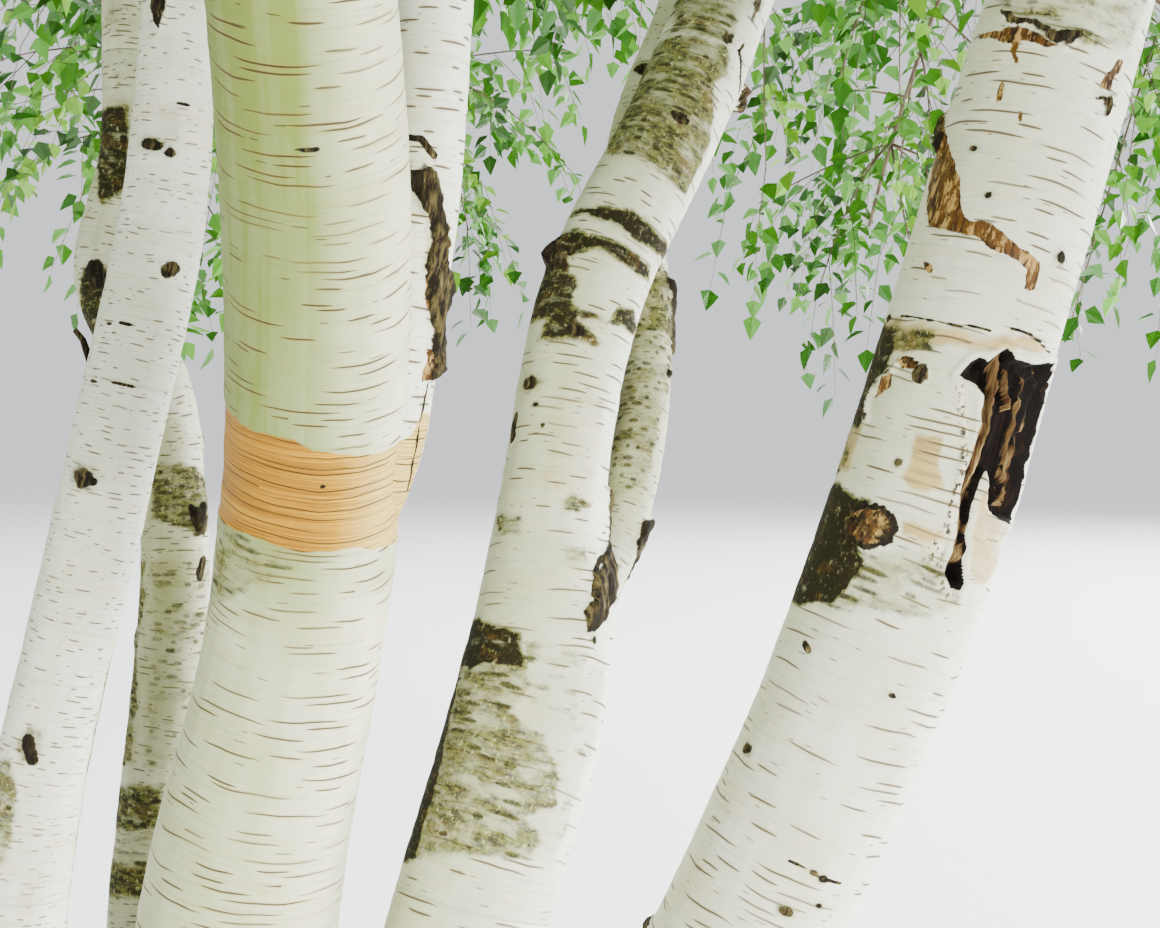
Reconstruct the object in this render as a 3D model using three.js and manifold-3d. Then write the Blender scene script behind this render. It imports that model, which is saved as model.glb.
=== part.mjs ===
// A birch clump: seven white stems that lean out of one root crown, in millimetres, +Z up.
// The origin is on the flat cut at ground level. The side that the stems are seen from faces -Y.
// Every limb is a tapered tube along a smooth line, and every mass of foliage is one fused solid
// of three-sided twigs and leaf blades that keeps to its own rounded space in the crown.
import * as THREE from "three";
import { mergeVertices } from "three/addons/utils/BufferGeometryUtils.js";
import Module from "manifold-3d";

const wasm = await Module();
wasm.setup();

// Stations of each stem: x, y, height and radius. The first lies on the ground, the last is the tip.
const stemStations = {
  front_stem: [
    [-100, -50, 0, 172], [-31, -70, 888, 127], [81, -180, 1405, 111], [126, -382, 1794, 104],
    [136, -515, 1975, 99], [130, -880, 2650, 94], [70, -1180, 4000, 82], [-10, -1400, 6500, 57],
    [-60, -1520, 9500, 19],
  ],
  right_stem: [
    [130, -70, 0, 138], [635, -130, 906, 114], [811, -150, 1328, 113], [925, -160, 1707, 109],
    [1034, -170, 2082, 100], [1520, -250, 4000, 75], [1930, -310, 6200, 52], [2230, -340, 8700, 18],
  ],
  middle_stem: [
    [70, -10, 0, 130], [263, 0, 866, 108], [364, 82, 1240, 103], [382, 130, 1456, 79],
    [438, 190, 1751, 78], [571, 280, 2038, 75], [1040, 720, 3800, 58], [1450, 1180, 6000, 40],
    [1650, 1440, 8200, 16],
  ],
  left_stem: [
    [-290, 30, 0, 84], [-366, 50, 850, 63], [-237, 50, 1500, 61], [-163, 50, 1860, 58],
    [-141, 50, 2150, 50], [-420, -60, 4000, 38], [-900, -330, 6700, 15],
  ],
  elbow_stem: [
    [-200, 130, 0, 72], [-265, 300, 773, 55], [-219, 300, 1453, 52], [-243, 300, 1624, 52],
    [-318, 300, 1773, 49], [-288, 300, 1992, 43], [-287, 300, 2227, 41], [-560, 520, 4200, 29],
    [-900, 800, 6500, 14],
  ],
  front_fork_stem: [
    [100, -160, 1340, 48], [172, -215, 1530, 59], [200, -236, 1650, 52], [228, -262, 1800, 47],
    [242, -272, 1960, 46], [262, -260, 2300, 45], [340, -150, 4000, 40], [430, 0, 6300, 29],
    [480, 80, 8700, 15],
  ],
  middle_fork_stem: [
    [395, 105, 1220, 42], [492, 190, 1455, 39], [522, 310, 1758, 40], [501, 380, 1984, 41],
    [595, 470, 2280, 41], [640, 1000, 4000, 31], [470, 1560, 6100, 17], [400, 1780, 7000, 13],
  ],
};
const forksFrom = { front_fork_stem: "front_stem", middle_fork_stem: "middle_stem" };

// The root crown holds the foot of five stems, each up to the height where it stands free.
const footTop = {
  front_stem: 620, right_stem: 620, middle_stem: 620, left_stem: 380, elbow_stem: 380,
};
const footBelow = 120; // the feet are made this far below the ground, then cut flat
const footSides = 14;
const footSteps = 5;
const flare = { share: 0.3, lobes: 5, lobeShare: 0.2, height: 150 };
const mound = { centre: [-50, 10, 0], radii: [340, 200, 120] };

// An old wound on the right stem: a long scoop in the side that faces the viewer.
const wound = { at: [948, -262, 1500], radii: [58, 42, 150], lean: 19 };

const clearance = 0.3; // between solids that meet face to face
const cellShare = 0.97; // masses part where one is this much nearer, by its own radii, than the next
const stemSides = 10;
const stemSteps = 15;
const stepGrowth = 1.35; // steps grow longer towards the tip
const boughSides = 5;
const boughSteps = 5;
const bough = {
  tipRadius: 11,
  most: 34, // of its radius where it leaves the stem
  shareOfStem: 0.45,
  lowest: 2500,
  belowTip: 500,
  rise: 0.6, // of its level reach
  apart: 160, // between two boughs on a stem
  detour: 350, // how much further a bough reaches to start from a stem with room
  arch: 0.36, // of its span
};
const massEntry = { inward: 0.85, down: 0.25, share: 0.62 }; // where a bough ends in its mass

// The crown leans with the stems: its axis moves to +X with height.
const crownAxis = { x: 420, xPerHeight: 0.035, y: 90 };
// Rings of side masses: height, distance from the crown's axis, count, turn, and each mass's radii.
const rings = [
  { name: "low", height: 3100, out: 2080, count: 7, turn: 12, wide: 1060, tall: 1350, jitter: 150 },
  { name: "mid", height: 5350, out: 2330, count: 7, turn: 38, wide: 1140, tall: 1250, jitter: 200 },
  { name: "high", height: 7350, out: 1980, count: 5, turn: 70, wide: 1120, tall: 1250, jitter: 160 },
];
// Masses at the stems' tips: radii, and how far their middle stands above the tip.
const tops = {
  front_stem: { wide: 1000, tall: 1400, above: 1050 },
  right_stem: { wide: 1000, tall: 1300, above: 950 },
  middle_stem: { wide: 1000, tall: 1300, above: 900 },
  left_stem: { wide: 950, tall: 1250, above: 850 },
  elbow_stem: { wide: 950, tall: 1250, above: 850 },
  front_fork_stem: { wide: 1050, tall: 1350, above: 1000 },
  middle_fork_stem: { wide: 950, tall: 1250, above: 850 },
};

const foliage = {
  twigs: 6,
  reach: 0.72, // how far the twigs' ends stand from the middle
  axisTip: 9,
  twigRadii: [6, 5],
  lift: 0.14, // how far a twig arches up before its tip comes down
  limbGap: 60,
  twigTests: 14, // places along a twig where it is tested
  shortest: 0.4, // a twig that is stopped before this share of its length is left out
};
// Each blade stands for a whole spray of leaves.
const leaf = {
  at: [0.58, 0.97], // where leaves grow along a twig
  length: 680,
  width: 0.6, // of its length
  thick: 0.02, // of its length
  widest: 0.42, // as a share of its length from the root
  thickest: 0.12,
  root: 1, // how far the root goes past the middle of its twig
  sizes: [1, 0.82, 0.66], // tried in turn until the leaf keeps to its space
  turns: 6, // headings tried round the twig
};
const goldenAngle = Math.PI * (3 - Math.sqrt(5));
const up = new THREE.Vector3(0, 0, 1);

const bark = new THREE.MeshStandardMaterial({ color: 0xe4e2d8, roughness: 0.62, metalness: 0 });
const rootBark = new THREE.MeshStandardMaterial({ color: 0x8f8a7c, roughness: 0.85, metalness: 0 });
const boughBark = new THREE.MeshStandardMaterial({ color: 0xa79a86, roughness: 0.7, metalness: 0 });
const leafGreen = new THREE.MeshStandardMaterial({ color: 0x5f9a2c, roughness: 0.5, metalness: 0 });

// Reads x, y and radius at a height: a cubic through the stations, with slopes from both neighbours.
function readStations(stations, height) {
  const last = stations.length - 1;
  const slope = (i, k) => {
    const secant = (j) => (stations[j + 1][k] - stations[j][k]) / (stations[j + 1][2] - stations[j][2]);
    if (i === 0) return secant(0);
    if (i === last) return secant(last - 1);
    const before = stations[i][2] - stations[i - 1][2];
    const after = stations[i + 1][2] - stations[i][2];
    return (after * secant(i - 1) + before * secant(i)) / (before + after);
  };
  let i = 0;
  while (i < last - 1 && height > stations[i + 1][2]) i++;
  const span = stations[i + 1][2] - stations[i][2];
  const t = (height - stations[i][2]) / span;
  return [0, 1, 3].map((k) => {
    const a = stations[i][k];
    const b = stations[i + 1][k];
    const ma = slope(i, k) * span;
    const mb = slope(i + 1, k) * span;
    return (
      (2 * t ** 3 - 3 * t ** 2 + 1) * a + (t ** 3 - 2 * t ** 2 + t) * ma +
      (-2 * t ** 3 + 3 * t ** 2) * b + (t ** 3 - t ** 2) * mb
    );
  });
}

// A limb's line as a function of t from 0 to 1 that gives a point and a radius.
function stemLine(name, from, to) {
  return (t) => {
    const height = from + (to - from) * t;
    const [x, y, radius] = readStations(stemStations[name], height);
    return { point: new THREE.Vector3(x, y, height), radius };
  };
}

function curveLine(curve, startRadius, endRadius) {
  return (t) => ({ point: curve.getPoint(t), radius: startRadius + (endRadius - startRadius) * t });
}

function directionAt(line, t) {
  const step = 1e-3;
  const a = line(Math.max(0, t - step)).point;
  const b = line(Math.min(1, t + step)).point;
  return b.sub(a).normalize();
}

// A cylinder whose rings are moved onto a line, each square to it, with an even turn along the way.
// shape(turn, height) multiplies the radius.
function tube(line, sides, steps, { growth = 1, extra = 0, shape = () => 1 } = {}) {
  const cylinder = new THREE.CylinderGeometry(1, 1, 1, sides, steps);
  cylinder.deleteAttribute("normal");
  cylinder.deleteAttribute("uv");
  const geometry = mergeVertices(cylinder, 1e-4);
  const position = geometry.getAttribute("position");
  const chord = line(1).point.sub(line(0).point).normalize();
  const aside = Math.abs(chord.y) < 0.8 ? new THREE.Vector3(0, 1, 0) : new THREE.Vector3(1, 0, 0);
  for (let i = 0; i < position.count; i++) {
    const t = (position.getY(i) + 0.5) ** growth;
    const { point, radius } = line(t);
    const along = directionAt(line, t);
    const across = aside.clone().cross(along).normalize();
    const over = along.clone().cross(across);
    const turn = Math.atan2(position.getZ(i), position.getX(i));
    const capMiddle = Math.hypot(position.getX(i), position.getZ(i)) < 0.5;
    const size = capMiddle ? 0 : (radius + extra) * shape(turn, point.z);
    const placed = point
      .addScaledVector(across, -size * Math.cos(turn))
      .addScaledVector(over, size * Math.sin(turn));
    position.setXYZ(i, placed.x, placed.y, placed.z);
  }
  return geometry;
}

function solidOf(geometry) {
  const bare = geometry.clone();
  bare.deleteAttribute("normal");
  bare.deleteAttribute("uv");
  const merged = mergeVertices(bare, 1e-4);
  return new wasm.Manifold(
    new wasm.Mesh({
      numProp: 3,
      vertProperties: new Float32Array(merged.getAttribute("position").array),
      triVerts: new Uint32Array(merged.index.array),
    }),
  );
}

function geometryOf(solid) {
  const mesh = solid.getMesh();
  const geometry = new THREE.BufferGeometry();
  geometry.setAttribute("position", new THREE.BufferAttribute(mesh.vertProperties, 3));
  geometry.setIndex(new THREE.BufferAttribute(mesh.triVerts, 1));
  geometry.computeVertexNormals();
  return geometry;
}

// The largest body of a cut solid, without the slivers that a cut can leave.
function largestBody(solid) {
  return solid.decompose().reduce((a, b) => (b.volume() > a.volume() ? b : a));
}

// The same jitter from 0 to 1 for the same two numbers.
function jitter(seed, k) {
  const wave = Math.sin(seed * 127.1 + k * 311.7) * 43758.5453;
  return wave - Math.floor(wave);
}

// Root crown

function flareShape(turn, height) {
  const fade = Math.exp(-Math.max(height, 0) / flare.height);
  return 1 + fade * (flare.share + flare.lobeShare * Math.cos(flare.lobes * turn));
}

function rootCrown() {
  const ground = new THREE.BoxGeometry(3000, 3000, 600).translate(0, 0, -300);
  const parts = Object.entries(footTop).map(([name, top]) => {
    const line = stemLine(name, -footBelow, top);
    return solidOf(tube(line, footSides, footSteps, { shape: flareShape }));
  });
  const hump = new THREE.SphereGeometry(1, 14, 8).scale(...mound.radii).translate(...mound.centre);
  return wasm.Manifold.union([...parts, solidOf(hump)]).subtract(solidOf(ground));
}

// Stems

function stemTip(name) {
  return stemStations[name].at(-1)[2];
}

// A stem above its foot, or grown all round by an extra radius.
function stemTube(name, extra = 0) {
  const from = name in footTop ? footTop[name] + clearance : stemStations[name][0][2];
  return tube(stemLine(name, from, stemTip(name)), stemSides, stemSteps, { growth: stepGrowth, extra });
}

function woundSolid() {
  const scoop = new THREE.SphereGeometry(1, 8, 6).rotateX(Math.PI / 2).scale(...wound.radii);
  return solidOf(scoop.rotateY(THREE.MathUtils.degToRad(wound.lean)).translate(...wound.at));
}

function stemSolid(name) {
  const solid = solidOf(stemTube(name));
  const parent = forksFrom[name];
  if (parent) return largestBody(solid.subtract(solidOf(stemTube(parent, clearance))));
  return name === "right_stem" ? largestBody(solid.subtract(woundSolid())) : solid;
}

// Masses and the boughs that carry them

function crownMasses() {
  const found = [];
  for (const [stem, size] of Object.entries(tops)) {
    const line = stemLine(stem, 0, stemTip(stem));
    const tip = line(1).point;
    const along = directionAt(line, 1);
    found.push({
      name: `crown_${stem}`,
      stem,
      top: true,
      centre: tip.clone().addScaledVector(along, size.above),
      entry: tip,
      radii: new THREE.Vector3(size.wide, size.wide, size.tall),
    });
  }
  for (const ring of rings) {
    for (let k = 0; k < ring.count; k++) {
      const seed = ring.height + k;
      const heading = THREE.MathUtils.degToRad(ring.turn) + (2 * Math.PI * k) / ring.count;
      const out = ring.out + ring.jitter * (jitter(seed, 1) - 0.5) * 2;
      const height = ring.height + ring.jitter * (jitter(seed, 2) - 0.5) * 2;
      const outward = new THREE.Vector3(Math.cos(heading), Math.sin(heading), 0);
      const axis = new THREE.Vector3(crownAxis.x + crownAxis.xPerHeight * height, crownAxis.y, height);
      const centre = axis.addScaledVector(outward, out);
      const radii = new THREE.Vector3(ring.wide, ring.wide, ring.tall);
      const inward = outward.clone().multiplyScalar(-massEntry.inward).addScaledVector(up, -massEntry.down);
      const entry = centre.clone().addScaledVector(inward.normalize(), massEntry.share * ring.wide);
      found.push({ name: `${ring.name}_mass_${k + 1}`, outward, centre, entry, radii, top: false });
    }
  }
  return found;
}

// The height on a stem from which a bough rises to the entry, and how far it has to reach.
function boughStart(stem, entry) {
  const highest = stemTip(stem) - bough.belowTip;
  let height = Math.min(Math.max(entry.z, bough.lowest), highest);
  let reach = 0;
  for (let i = 0; i < 4; i++) {
    const [x, y] = readStations(stemStations[stem], height);
    reach = Math.hypot(entry.x - x, entry.y - y);
    height = Math.min(Math.max(entry.z - bough.rise * reach, bough.lowest), highest);
  }
  return { stem, height, reach };
}

function boughOf(mass, taken) {
  const starts = Object.keys(stemStations).map((stem) => boughStart(stem, mass.entry));
  const crowded = (s) =>
    taken.some((other) => other.stem === s.stem && Math.abs(other.height - s.height) < bough.apart);
  const cost = (s) => s.reach + (crowded(s) ? bough.detour : 0);
  const start = starts.reduce((a, b) => (cost(b) < cost(a) ? b : a));
  while (crowded(start)) start.height += bough.apart / 3;
  taken.push(start);
  const [x, y, radius] = readStations(stemStations[start.stem], start.height);
  const foot = new THREE.Vector3(x, y, start.height);
  const span = mass.entry.distanceTo(foot);
  const level = mass.entry.clone().sub(foot).setZ(0).normalize();
  const setsOff = level.clone().multiplyScalar(0.75).addScaledVector(up, 0.66).normalize();
  const arrives = mass.outward.clone().multiplyScalar(0.95).addScaledVector(up, 0.31).normalize();
  const curve = new THREE.CubicBezierCurve3(
    foot,
    foot.clone().addScaledVector(setsOff, span * bough.arch),
    mass.entry.clone().addScaledVector(arrives, -span * bough.arch),
    mass.entry,
  );
  const startRadius = Math.min(bough.most, radius * bough.shareOfStem);
  mass.arrives = directionAt(curveLine(curve, 1, 1), 1);
  mass.entryRadius = bough.tipRadius;
  return { stem: start.stem, line: curveLine(curve, startRadius, bough.tipRadius) };
}

function boughSolid(found) {
  const solid = solidOf(tube(found.line, boughSides, boughSteps));
  return largestBody(solid.subtract(solidOf(stemTube(found.stem, clearance))));
}

// Foliage

function axisCurve(mass) {
  const { centre, entry, radii, top, outward } = mass;
  const start = entry.clone().addScaledVector(mass.arrives, clearance);
  const far = centre.clone();
  if (top) far.z += radii.z * 0.62;
  else far.addScaledVector(outward, radii.x * 0.5).addScaledVector(up, -radii.z * 0.12);
  const span = start.distanceTo(far);
  const bend = start.clone().addScaledVector(mass.arrives, span * 0.45);
  return new THREE.QuadraticBezierCurve3(start, bend, far);
}

// Points spread evenly over the mass's rounded space, at a share of its radii.
function targets(mass, count, share, seed) {
  const spin = jitter(seed, 3) * 2 * Math.PI;
  return Array.from({ length: count }, (_, k) => {
    const z = 1 - (2 * k + 1) / count;
    const level = Math.sqrt(1 - z * z);
    const turn = spin + k * goldenAngle;
    return new THREE.Vector3(level * Math.cos(turn), level * Math.sin(turn), z)
      .multiplyScalar(share)
      .multiply(mass.radii)
      .add(mass.centre);
  });
}

// A twig springs from the axis a little before the place nearest to its end, and arches over.
function twigCurve(axis, end) {
  let best = 0;
  for (let t = 0; t <= 1; t += 0.05) {
    if (axis.getPoint(t).distanceTo(end) < axis.getPoint(best).distanceTo(end)) best = t;
  }
  const at = Math.min(Math.max(best - 0.3, 0.12), 0.93);
  const foot = axis.getPoint(at);
  const span = foot.distanceTo(end);
  const bend = foot.clone().lerp(end, 0.5).addScaledVector(up, span * foliage.lift);
  return new THREE.QuadraticBezierCurve3(foot, bend, end);
}

// A blade of six faces: a root, a tip, two edges and a rib that stands proud on its upper side.
function leafBlade(root, along, side, length) {
  const face = along.clone().cross(side).normalize();
  const widest = root.clone().addScaledVector(along, length * leaf.widest);
  const thickest = root.clone().addScaledVector(along, length * leaf.thickest);
  const points = [
    root,
    root.clone().addScaledVector(along, length),
    widest.clone().addScaledVector(side, (length * leaf.width) / 2),
    widest.clone().addScaledVector(side, (-length * leaf.width) / 2),
    thickest.clone().addScaledVector(face, length * leaf.thick),
  ];
  const geometry = new THREE.BufferGeometry().setFromPoints(points);
  geometry.setIndex([0, 4, 2, 0, 3, 4, 1, 2, 4, 1, 4, 3, 0, 2, 3, 1, 3, 2]);
  const between = [[0, 2], [0, 3], [1, 2], [1, 3], [0, 4], [1, 4]];
  const middles = between.map(([a, b]) => points[a].clone().lerp(points[b], 0.5));
  return { geometry, tested: [...points, ...middles] };
}

// The first leaf at this place that is free: headings round the twig, then smaller sizes.
function leafAt(line, t, seed, free, others) {
  const along = directionAt(line, t);
  const side = along.clone().cross(up).normalize();
  const wanted = leaf.length * (0.88 + 0.24 * jitter(seed, 5));
  for (const size of leaf.sizes) {
    for (let k = 0; k < leaf.turns; k++) {
      const turn = (jitter(seed, 6) + k / leaf.turns) * 2 * Math.PI;
      const outward = side.clone().applyAxisAngle(along, turn);
      const heading = along.clone().multiplyScalar(0.7).addScaledVector(outward, 0.75);
      heading.addScaledVector(up, -0.3).normalize();
      const flat = heading.clone().cross(up).normalize();
      flat.applyAxisAngle(heading, (jitter(seed, 7) - 0.5) * 2.2);
      const root = line(t).point.addScaledVector(heading, -leaf.root);
      const blade = leafBlade(root, heading, flat, wanted * size);
      if (!blade.tested.every(free)) continue;
      const solid = solidOf(blade.geometry);
      if (others.every((other) => other.intersect(solid).isEmpty())) return solid;
    }
  }
  return null;
}

function massSolid(mass, index, masses, limbs) {
  const share = (m, p) => p.clone().sub(m.centre).divide(m.radii).length();
  const free = (p) => {
    const own = share(mass, p);
    const inCell = masses.every((m) => m === mass || own < share(m, p) * cellShare);
    return own < 1 && inCell &&
      limbs.every((line) => line.every((s) => s.point.distanceTo(p) > s.radius + foliage.limbGap));
  };
  const axis = axisCurve(mass);
  const lines = [curveLine(axis, mass.entryRadius, foliage.axisTip)];
  for (const end of targets(mass, foliage.twigs, foliage.reach, index)) {
    const curve = twigCurve(axis, end);
    const steps = Array.from({ length: foliage.twigTests }, (_, k) => (k + 1) / foliage.twigTests);
    const blocked = steps.findIndex((t) => !free(curve.getPoint(t)));
    const reach = blocked < 0 ? 1 : blocked / foliage.twigTests;
    if (reach < foliage.shortest) continue;
    const whole = curveLine(curve, foliage.twigRadii[0], foliage.twigRadii[1]);
    lines.push((t) => whole(t * reach));
  }
  const twigs = lines.map((line, k) => solidOf(tube(line, 3, k ? 2 : 4)));
  const leaves = [];
  lines.forEach((line, k) => {
    leaf.at.forEach((t, n) => {
      const others = [...twigs.filter((_, j) => j !== k), ...leaves];
      const blade = leafAt(line, t, index * 40 + k * 3 + n, free, others);
      if (blade) leaves.push(blade);
    });
  });
  return largestBody(wasm.Manifold.union([...twigs, ...leaves]));
}

// The whole plant

const tree = new THREE.Group();

function add(name, solid, material) {
  const mesh = new THREE.Mesh(geometryOf(solid), material);
  mesh.name = name;
  tree.add(mesh);
}

function samples(line, count) {
  return Array.from({ length: count + 1 }, (_, k) => line(k / count));
}

add("root_crown", rootCrown(), rootBark);
const limbs = [];
for (const name of Object.keys(stemStations)) {
  add(name, stemSolid(name), bark);
  limbs.push(samples(stemLine(name, stemStations[name][0][2], stemTip(name)), 90));
}
const masses = crownMasses();
const taken = [];
for (const mass of masses) {
  if (mass.top) {
    mass.arrives = directionAt(stemLine(mass.stem, 0, stemTip(mass.stem)), 1);
    mass.entryRadius = stemStations[mass.stem].at(-1)[3];
    continue;
  }
  const found = boughOf(mass, taken);
  add(mass.name.replace("mass", "bough"), boughSolid(found), boughBark);
  limbs.push(samples(found.line, 20));
}
masses.forEach((mass, index) => add(mass.name, massSolid(mass, index, masses, limbs), leafGreen));

export default tree;
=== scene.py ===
# A birch clump: seven white stems that lean out of one root crown, under an airy, drooping crown.
import math
from functools import partial

import bpy
import numpy as np
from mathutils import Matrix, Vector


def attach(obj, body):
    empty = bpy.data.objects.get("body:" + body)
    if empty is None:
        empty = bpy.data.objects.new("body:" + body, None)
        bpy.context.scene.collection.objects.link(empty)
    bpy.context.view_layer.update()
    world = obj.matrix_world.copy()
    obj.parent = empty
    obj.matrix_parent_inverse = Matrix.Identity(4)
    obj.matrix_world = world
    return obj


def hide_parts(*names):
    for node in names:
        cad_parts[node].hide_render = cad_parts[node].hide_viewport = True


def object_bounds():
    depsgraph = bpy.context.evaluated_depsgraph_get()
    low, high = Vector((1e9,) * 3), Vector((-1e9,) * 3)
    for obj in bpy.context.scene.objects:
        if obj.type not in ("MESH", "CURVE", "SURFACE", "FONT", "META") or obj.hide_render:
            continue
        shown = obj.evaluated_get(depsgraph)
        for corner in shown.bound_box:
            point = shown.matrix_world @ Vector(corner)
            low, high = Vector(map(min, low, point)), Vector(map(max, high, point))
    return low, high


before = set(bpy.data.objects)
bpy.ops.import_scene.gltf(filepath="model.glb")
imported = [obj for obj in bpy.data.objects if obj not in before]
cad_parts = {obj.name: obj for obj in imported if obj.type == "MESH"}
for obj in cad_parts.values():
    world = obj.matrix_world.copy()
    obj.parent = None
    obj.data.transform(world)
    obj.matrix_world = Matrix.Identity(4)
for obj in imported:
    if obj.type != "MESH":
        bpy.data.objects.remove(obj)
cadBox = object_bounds()
mm = 0.001

# The photograph's view: a level lens at eye height, close to the stems
photoView = {
    "eye": (0.42, -2.05, 1.5),
    "focalPixels": 1500,
    "widthPixels": 1160,
    "heightPixels": 928,
    "sensorWidth": 36,
    "stemDepth": 2, # m, about where the stems stand
}

cameraData = bpy.data.cameras.new("photo_camera")
cameraData.sensor_width = photoView["sensorWidth"]
cameraData.lens = photoView["sensorWidth"] * photoView["focalPixels"] / photoView["widthPixels"]
cameraData.clip_end = 200
camera = bpy.data.objects.new("photo_camera", cameraData)
camera.location = photoView["eye"]
camera.rotation_euler = (math.pi / 2, 0, 0)
bpy.context.scene.collection.objects.link(camera)
bpy.context.scene.camera = camera
print("camera set")

# Stations of each stem in millimetres: x, y, height and radius
stemStations = {
    "front_stem": [
        (-100, -50, 0, 172), (-31, -70, 888, 127), (81, -180, 1405, 111), (126, -382, 1794, 104),
        (136, -515, 1975, 99), (130, -880, 2650, 94), (70, -1180, 4000, 82), (-10, -1400, 6500, 57),
        (-60, -1520, 9500, 19),
    ],
    "right_stem": [
        (130, -70, 0, 138), (635, -130, 906, 114), (811, -150, 1328, 113), (925, -160, 1707, 109),
        (1034, -170, 2082, 100), (1520, -250, 4000, 75), (1930, -310, 6200, 52), (2230, -340, 8700, 18),
    ],
    "middle_stem": [
        (70, -10, 0, 130), (263, 0, 866, 108), (364, 82, 1240, 103), (382, 130, 1456, 79),
        (438, 190, 1751, 78), (571, 280, 2038, 75), (1040, 720, 3800, 58), (1450, 1180, 6000, 40),
        (1650, 1440, 8200, 16),
    ],
    "left_stem": [
        (-290, 30, 0, 84), (-366, 50, 850, 63), (-237, 50, 1500, 61), (-163, 50, 1860, 58),
        (-141, 50, 2150, 50), (-420, -60, 4000, 38), (-900, -330, 6700, 15),
    ],
    "elbow_stem": [
        (-200, 130, 0, 72), (-265, 300, 773, 55), (-219, 300, 1453, 52), (-243, 300, 1624, 52),
        (-318, 300, 1773, 49), (-288, 300, 1992, 43), (-287, 300, 2227, 41), (-560, 520, 4200, 29),
        (-900, 800, 6500, 14),
    ],
    "front_fork_stem": [
        (100, -160, 1340, 48), (172, -215, 1530, 59), (200, -236, 1650, 52), (228, -262, 1800, 47),
        (242, -272, 1960, 46), (262, -260, 2300, 45), (340, -150, 4000, 40), (430, 0, 6300, 29),
        (480, 80, 8700, 15),
    ],
    "middle_fork_stem": [
        (395, 105, 1220, 42), (492, 190, 1455, 39), (522, 310, 1758, 40), (501, 380, 1984, 41),
        (595, 470, 2280, 41), (640, 1000, 4000, 31), (470, 1560, 6100, 17), (400, 1780, 7000, 13),
    ],
}
rootedStems = ("front_stem", "right_stem", "middle_stem", "left_stem", "elbow_stem")
goldenAngle = math.pi * (3 - math.sqrt(5))
front = -math.pi / 2 # the turn round a stem that faces the photograph's view
up = np.array((0.0, 0.0, 1.0))


# The same value from 0 to 1 for the same two numbers
def jitter(seed, k):
    wave = math.sin(seed * 127.1 + k * 311.7) * 43758.5453
    return wave - math.floor(wave)


# 0 below low, 1 above high, with a smooth step 3t^2 - 2t^3 between
def smoothStep(low, high, x):
    t = np.clip((x - low) / (high - low), 0, 1)
    return t * t * (3 - 2 * t)


# Value noise from -1 to 1: hashed values at whole-number corners, blended by smooth steps
hashPrimes = (73856093, 19349663, 83492791)
hashFactors = {"seed": 40503, "mix": 1274126177, "keep": 0xFFFFFFFF}


def latticeNoise(points, seed):
    cell = np.floor(points).astype(np.int64)
    part = points - cell
    part = part * part * (3 - 2 * part)
    total = 0
    for corner in ((i, j, k) for i in (0, 1) for j in (0, 1) for k in (0, 1)):
        at = cell + np.array(corner)
        x, y, z = (at[..., k] * prime for k, prime in enumerate(hashPrimes))
        mixed = x ^ y ^ z ^ (seed * hashFactors["seed"])
        mixed = (mixed ^ (mixed >> 13)) * hashFactors["mix"] & hashFactors["keep"]
        value = ((mixed ^ (mixed >> 15)) & 0xFFFF) / 32767.5 - 1
        weight = np.where(np.array(corner) == 1, part, 1 - part).prod(-1)
        total = total + weight * value
    return total


# Octaves of noise, each twice as fine and half as strong
def cloud(points, seed, octaves=3):
    return sum(latticeNoise(points * 2**k, seed + k) * 0.5**k for k in range(octaves))


def unit(v):
    return v / np.maximum(np.linalg.norm(v, axis=-1, keepdims=True), 1e-12)


# A turn brought to within half a turn of 0
def nearTurn(turn):
    return (turn + math.pi) % (2 * math.pi) - math.pi


# Lengths along a line of points, from its first one
def lengthAlong(points):
    return np.concatenate([[0], np.cumsum(np.linalg.norm(np.diff(points, axis=0), axis=1))])


# The vectors at a turn round a line, from the ones across it and over it
def spokes(across, over, turn):
    return across[..., None, :] * np.cos(turn)[..., None] + over[..., None, :] * np.sin(turn)[..., None]


# x, y and radius at heights: cubics through the stations, with slopes from both neighbours
def readStations(name, heights):
    table = np.array(stemStations[name], float) * mm
    z = table[:, 2]
    values = table[:, [0, 1, 3]]
    span = np.diff(z)[:, None]
    secant = np.diff(values, axis=0) / span
    inner = (span[1:] * secant[:-1] + span[:-1] * secant[1:]) / (span[:-1] + span[1:])
    slope = np.vstack([secant[:1], inner, secant[-1:]])
    heights = np.asarray(heights, float)
    i = np.clip(np.searchsorted(z, heights, side="left") - 1, 0, len(z) - 2)
    t = ((heights - z[i]) / span[i, 0])[..., None]
    found = (
        (2 * t**3 - 3 * t**2 + 1) * values[i] + (t**3 - 2 * t**2 + t) * slope[i] * span[i]
        + (-2 * t**3 + 3 * t**2) * values[i + 1] + (t**3 - t**2) * slope[i + 1] * span[i]
    )
    return np.stack([found[..., 0], found[..., 1], heights], -1), found[..., 2]


# Unit vectors along a line of points, across it and over it: over = along x across
def ringFrames(points):
    along = unit(np.gradient(points, axis=0))
    chord = unit(points[-1] - points[0])
    aside = np.array((0.0, 1.0, 0.0)) if abs(chord[1]) < 0.8 else np.array((1.0, 0.0, 0.0))
    across = unit(np.cross(aside, along))
    return along, across, np.cross(along, across)


# A stem as a fine table by height, with the length along it
def stemTable(name):
    stations = stemStations[name]
    heights = np.arange(stations[0][2] * mm, stations[-1][2] * mm, 0.01)
    points, radius = readStations(name, heights)
    along, across, over = ringFrames(points)
    return {"heights": heights, "radius": radius, "length": lengthAlong(points),
            "along": along, "across": across, "over": over}


stemTables = {name: stemTable(name) for name in stemStations}


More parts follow.
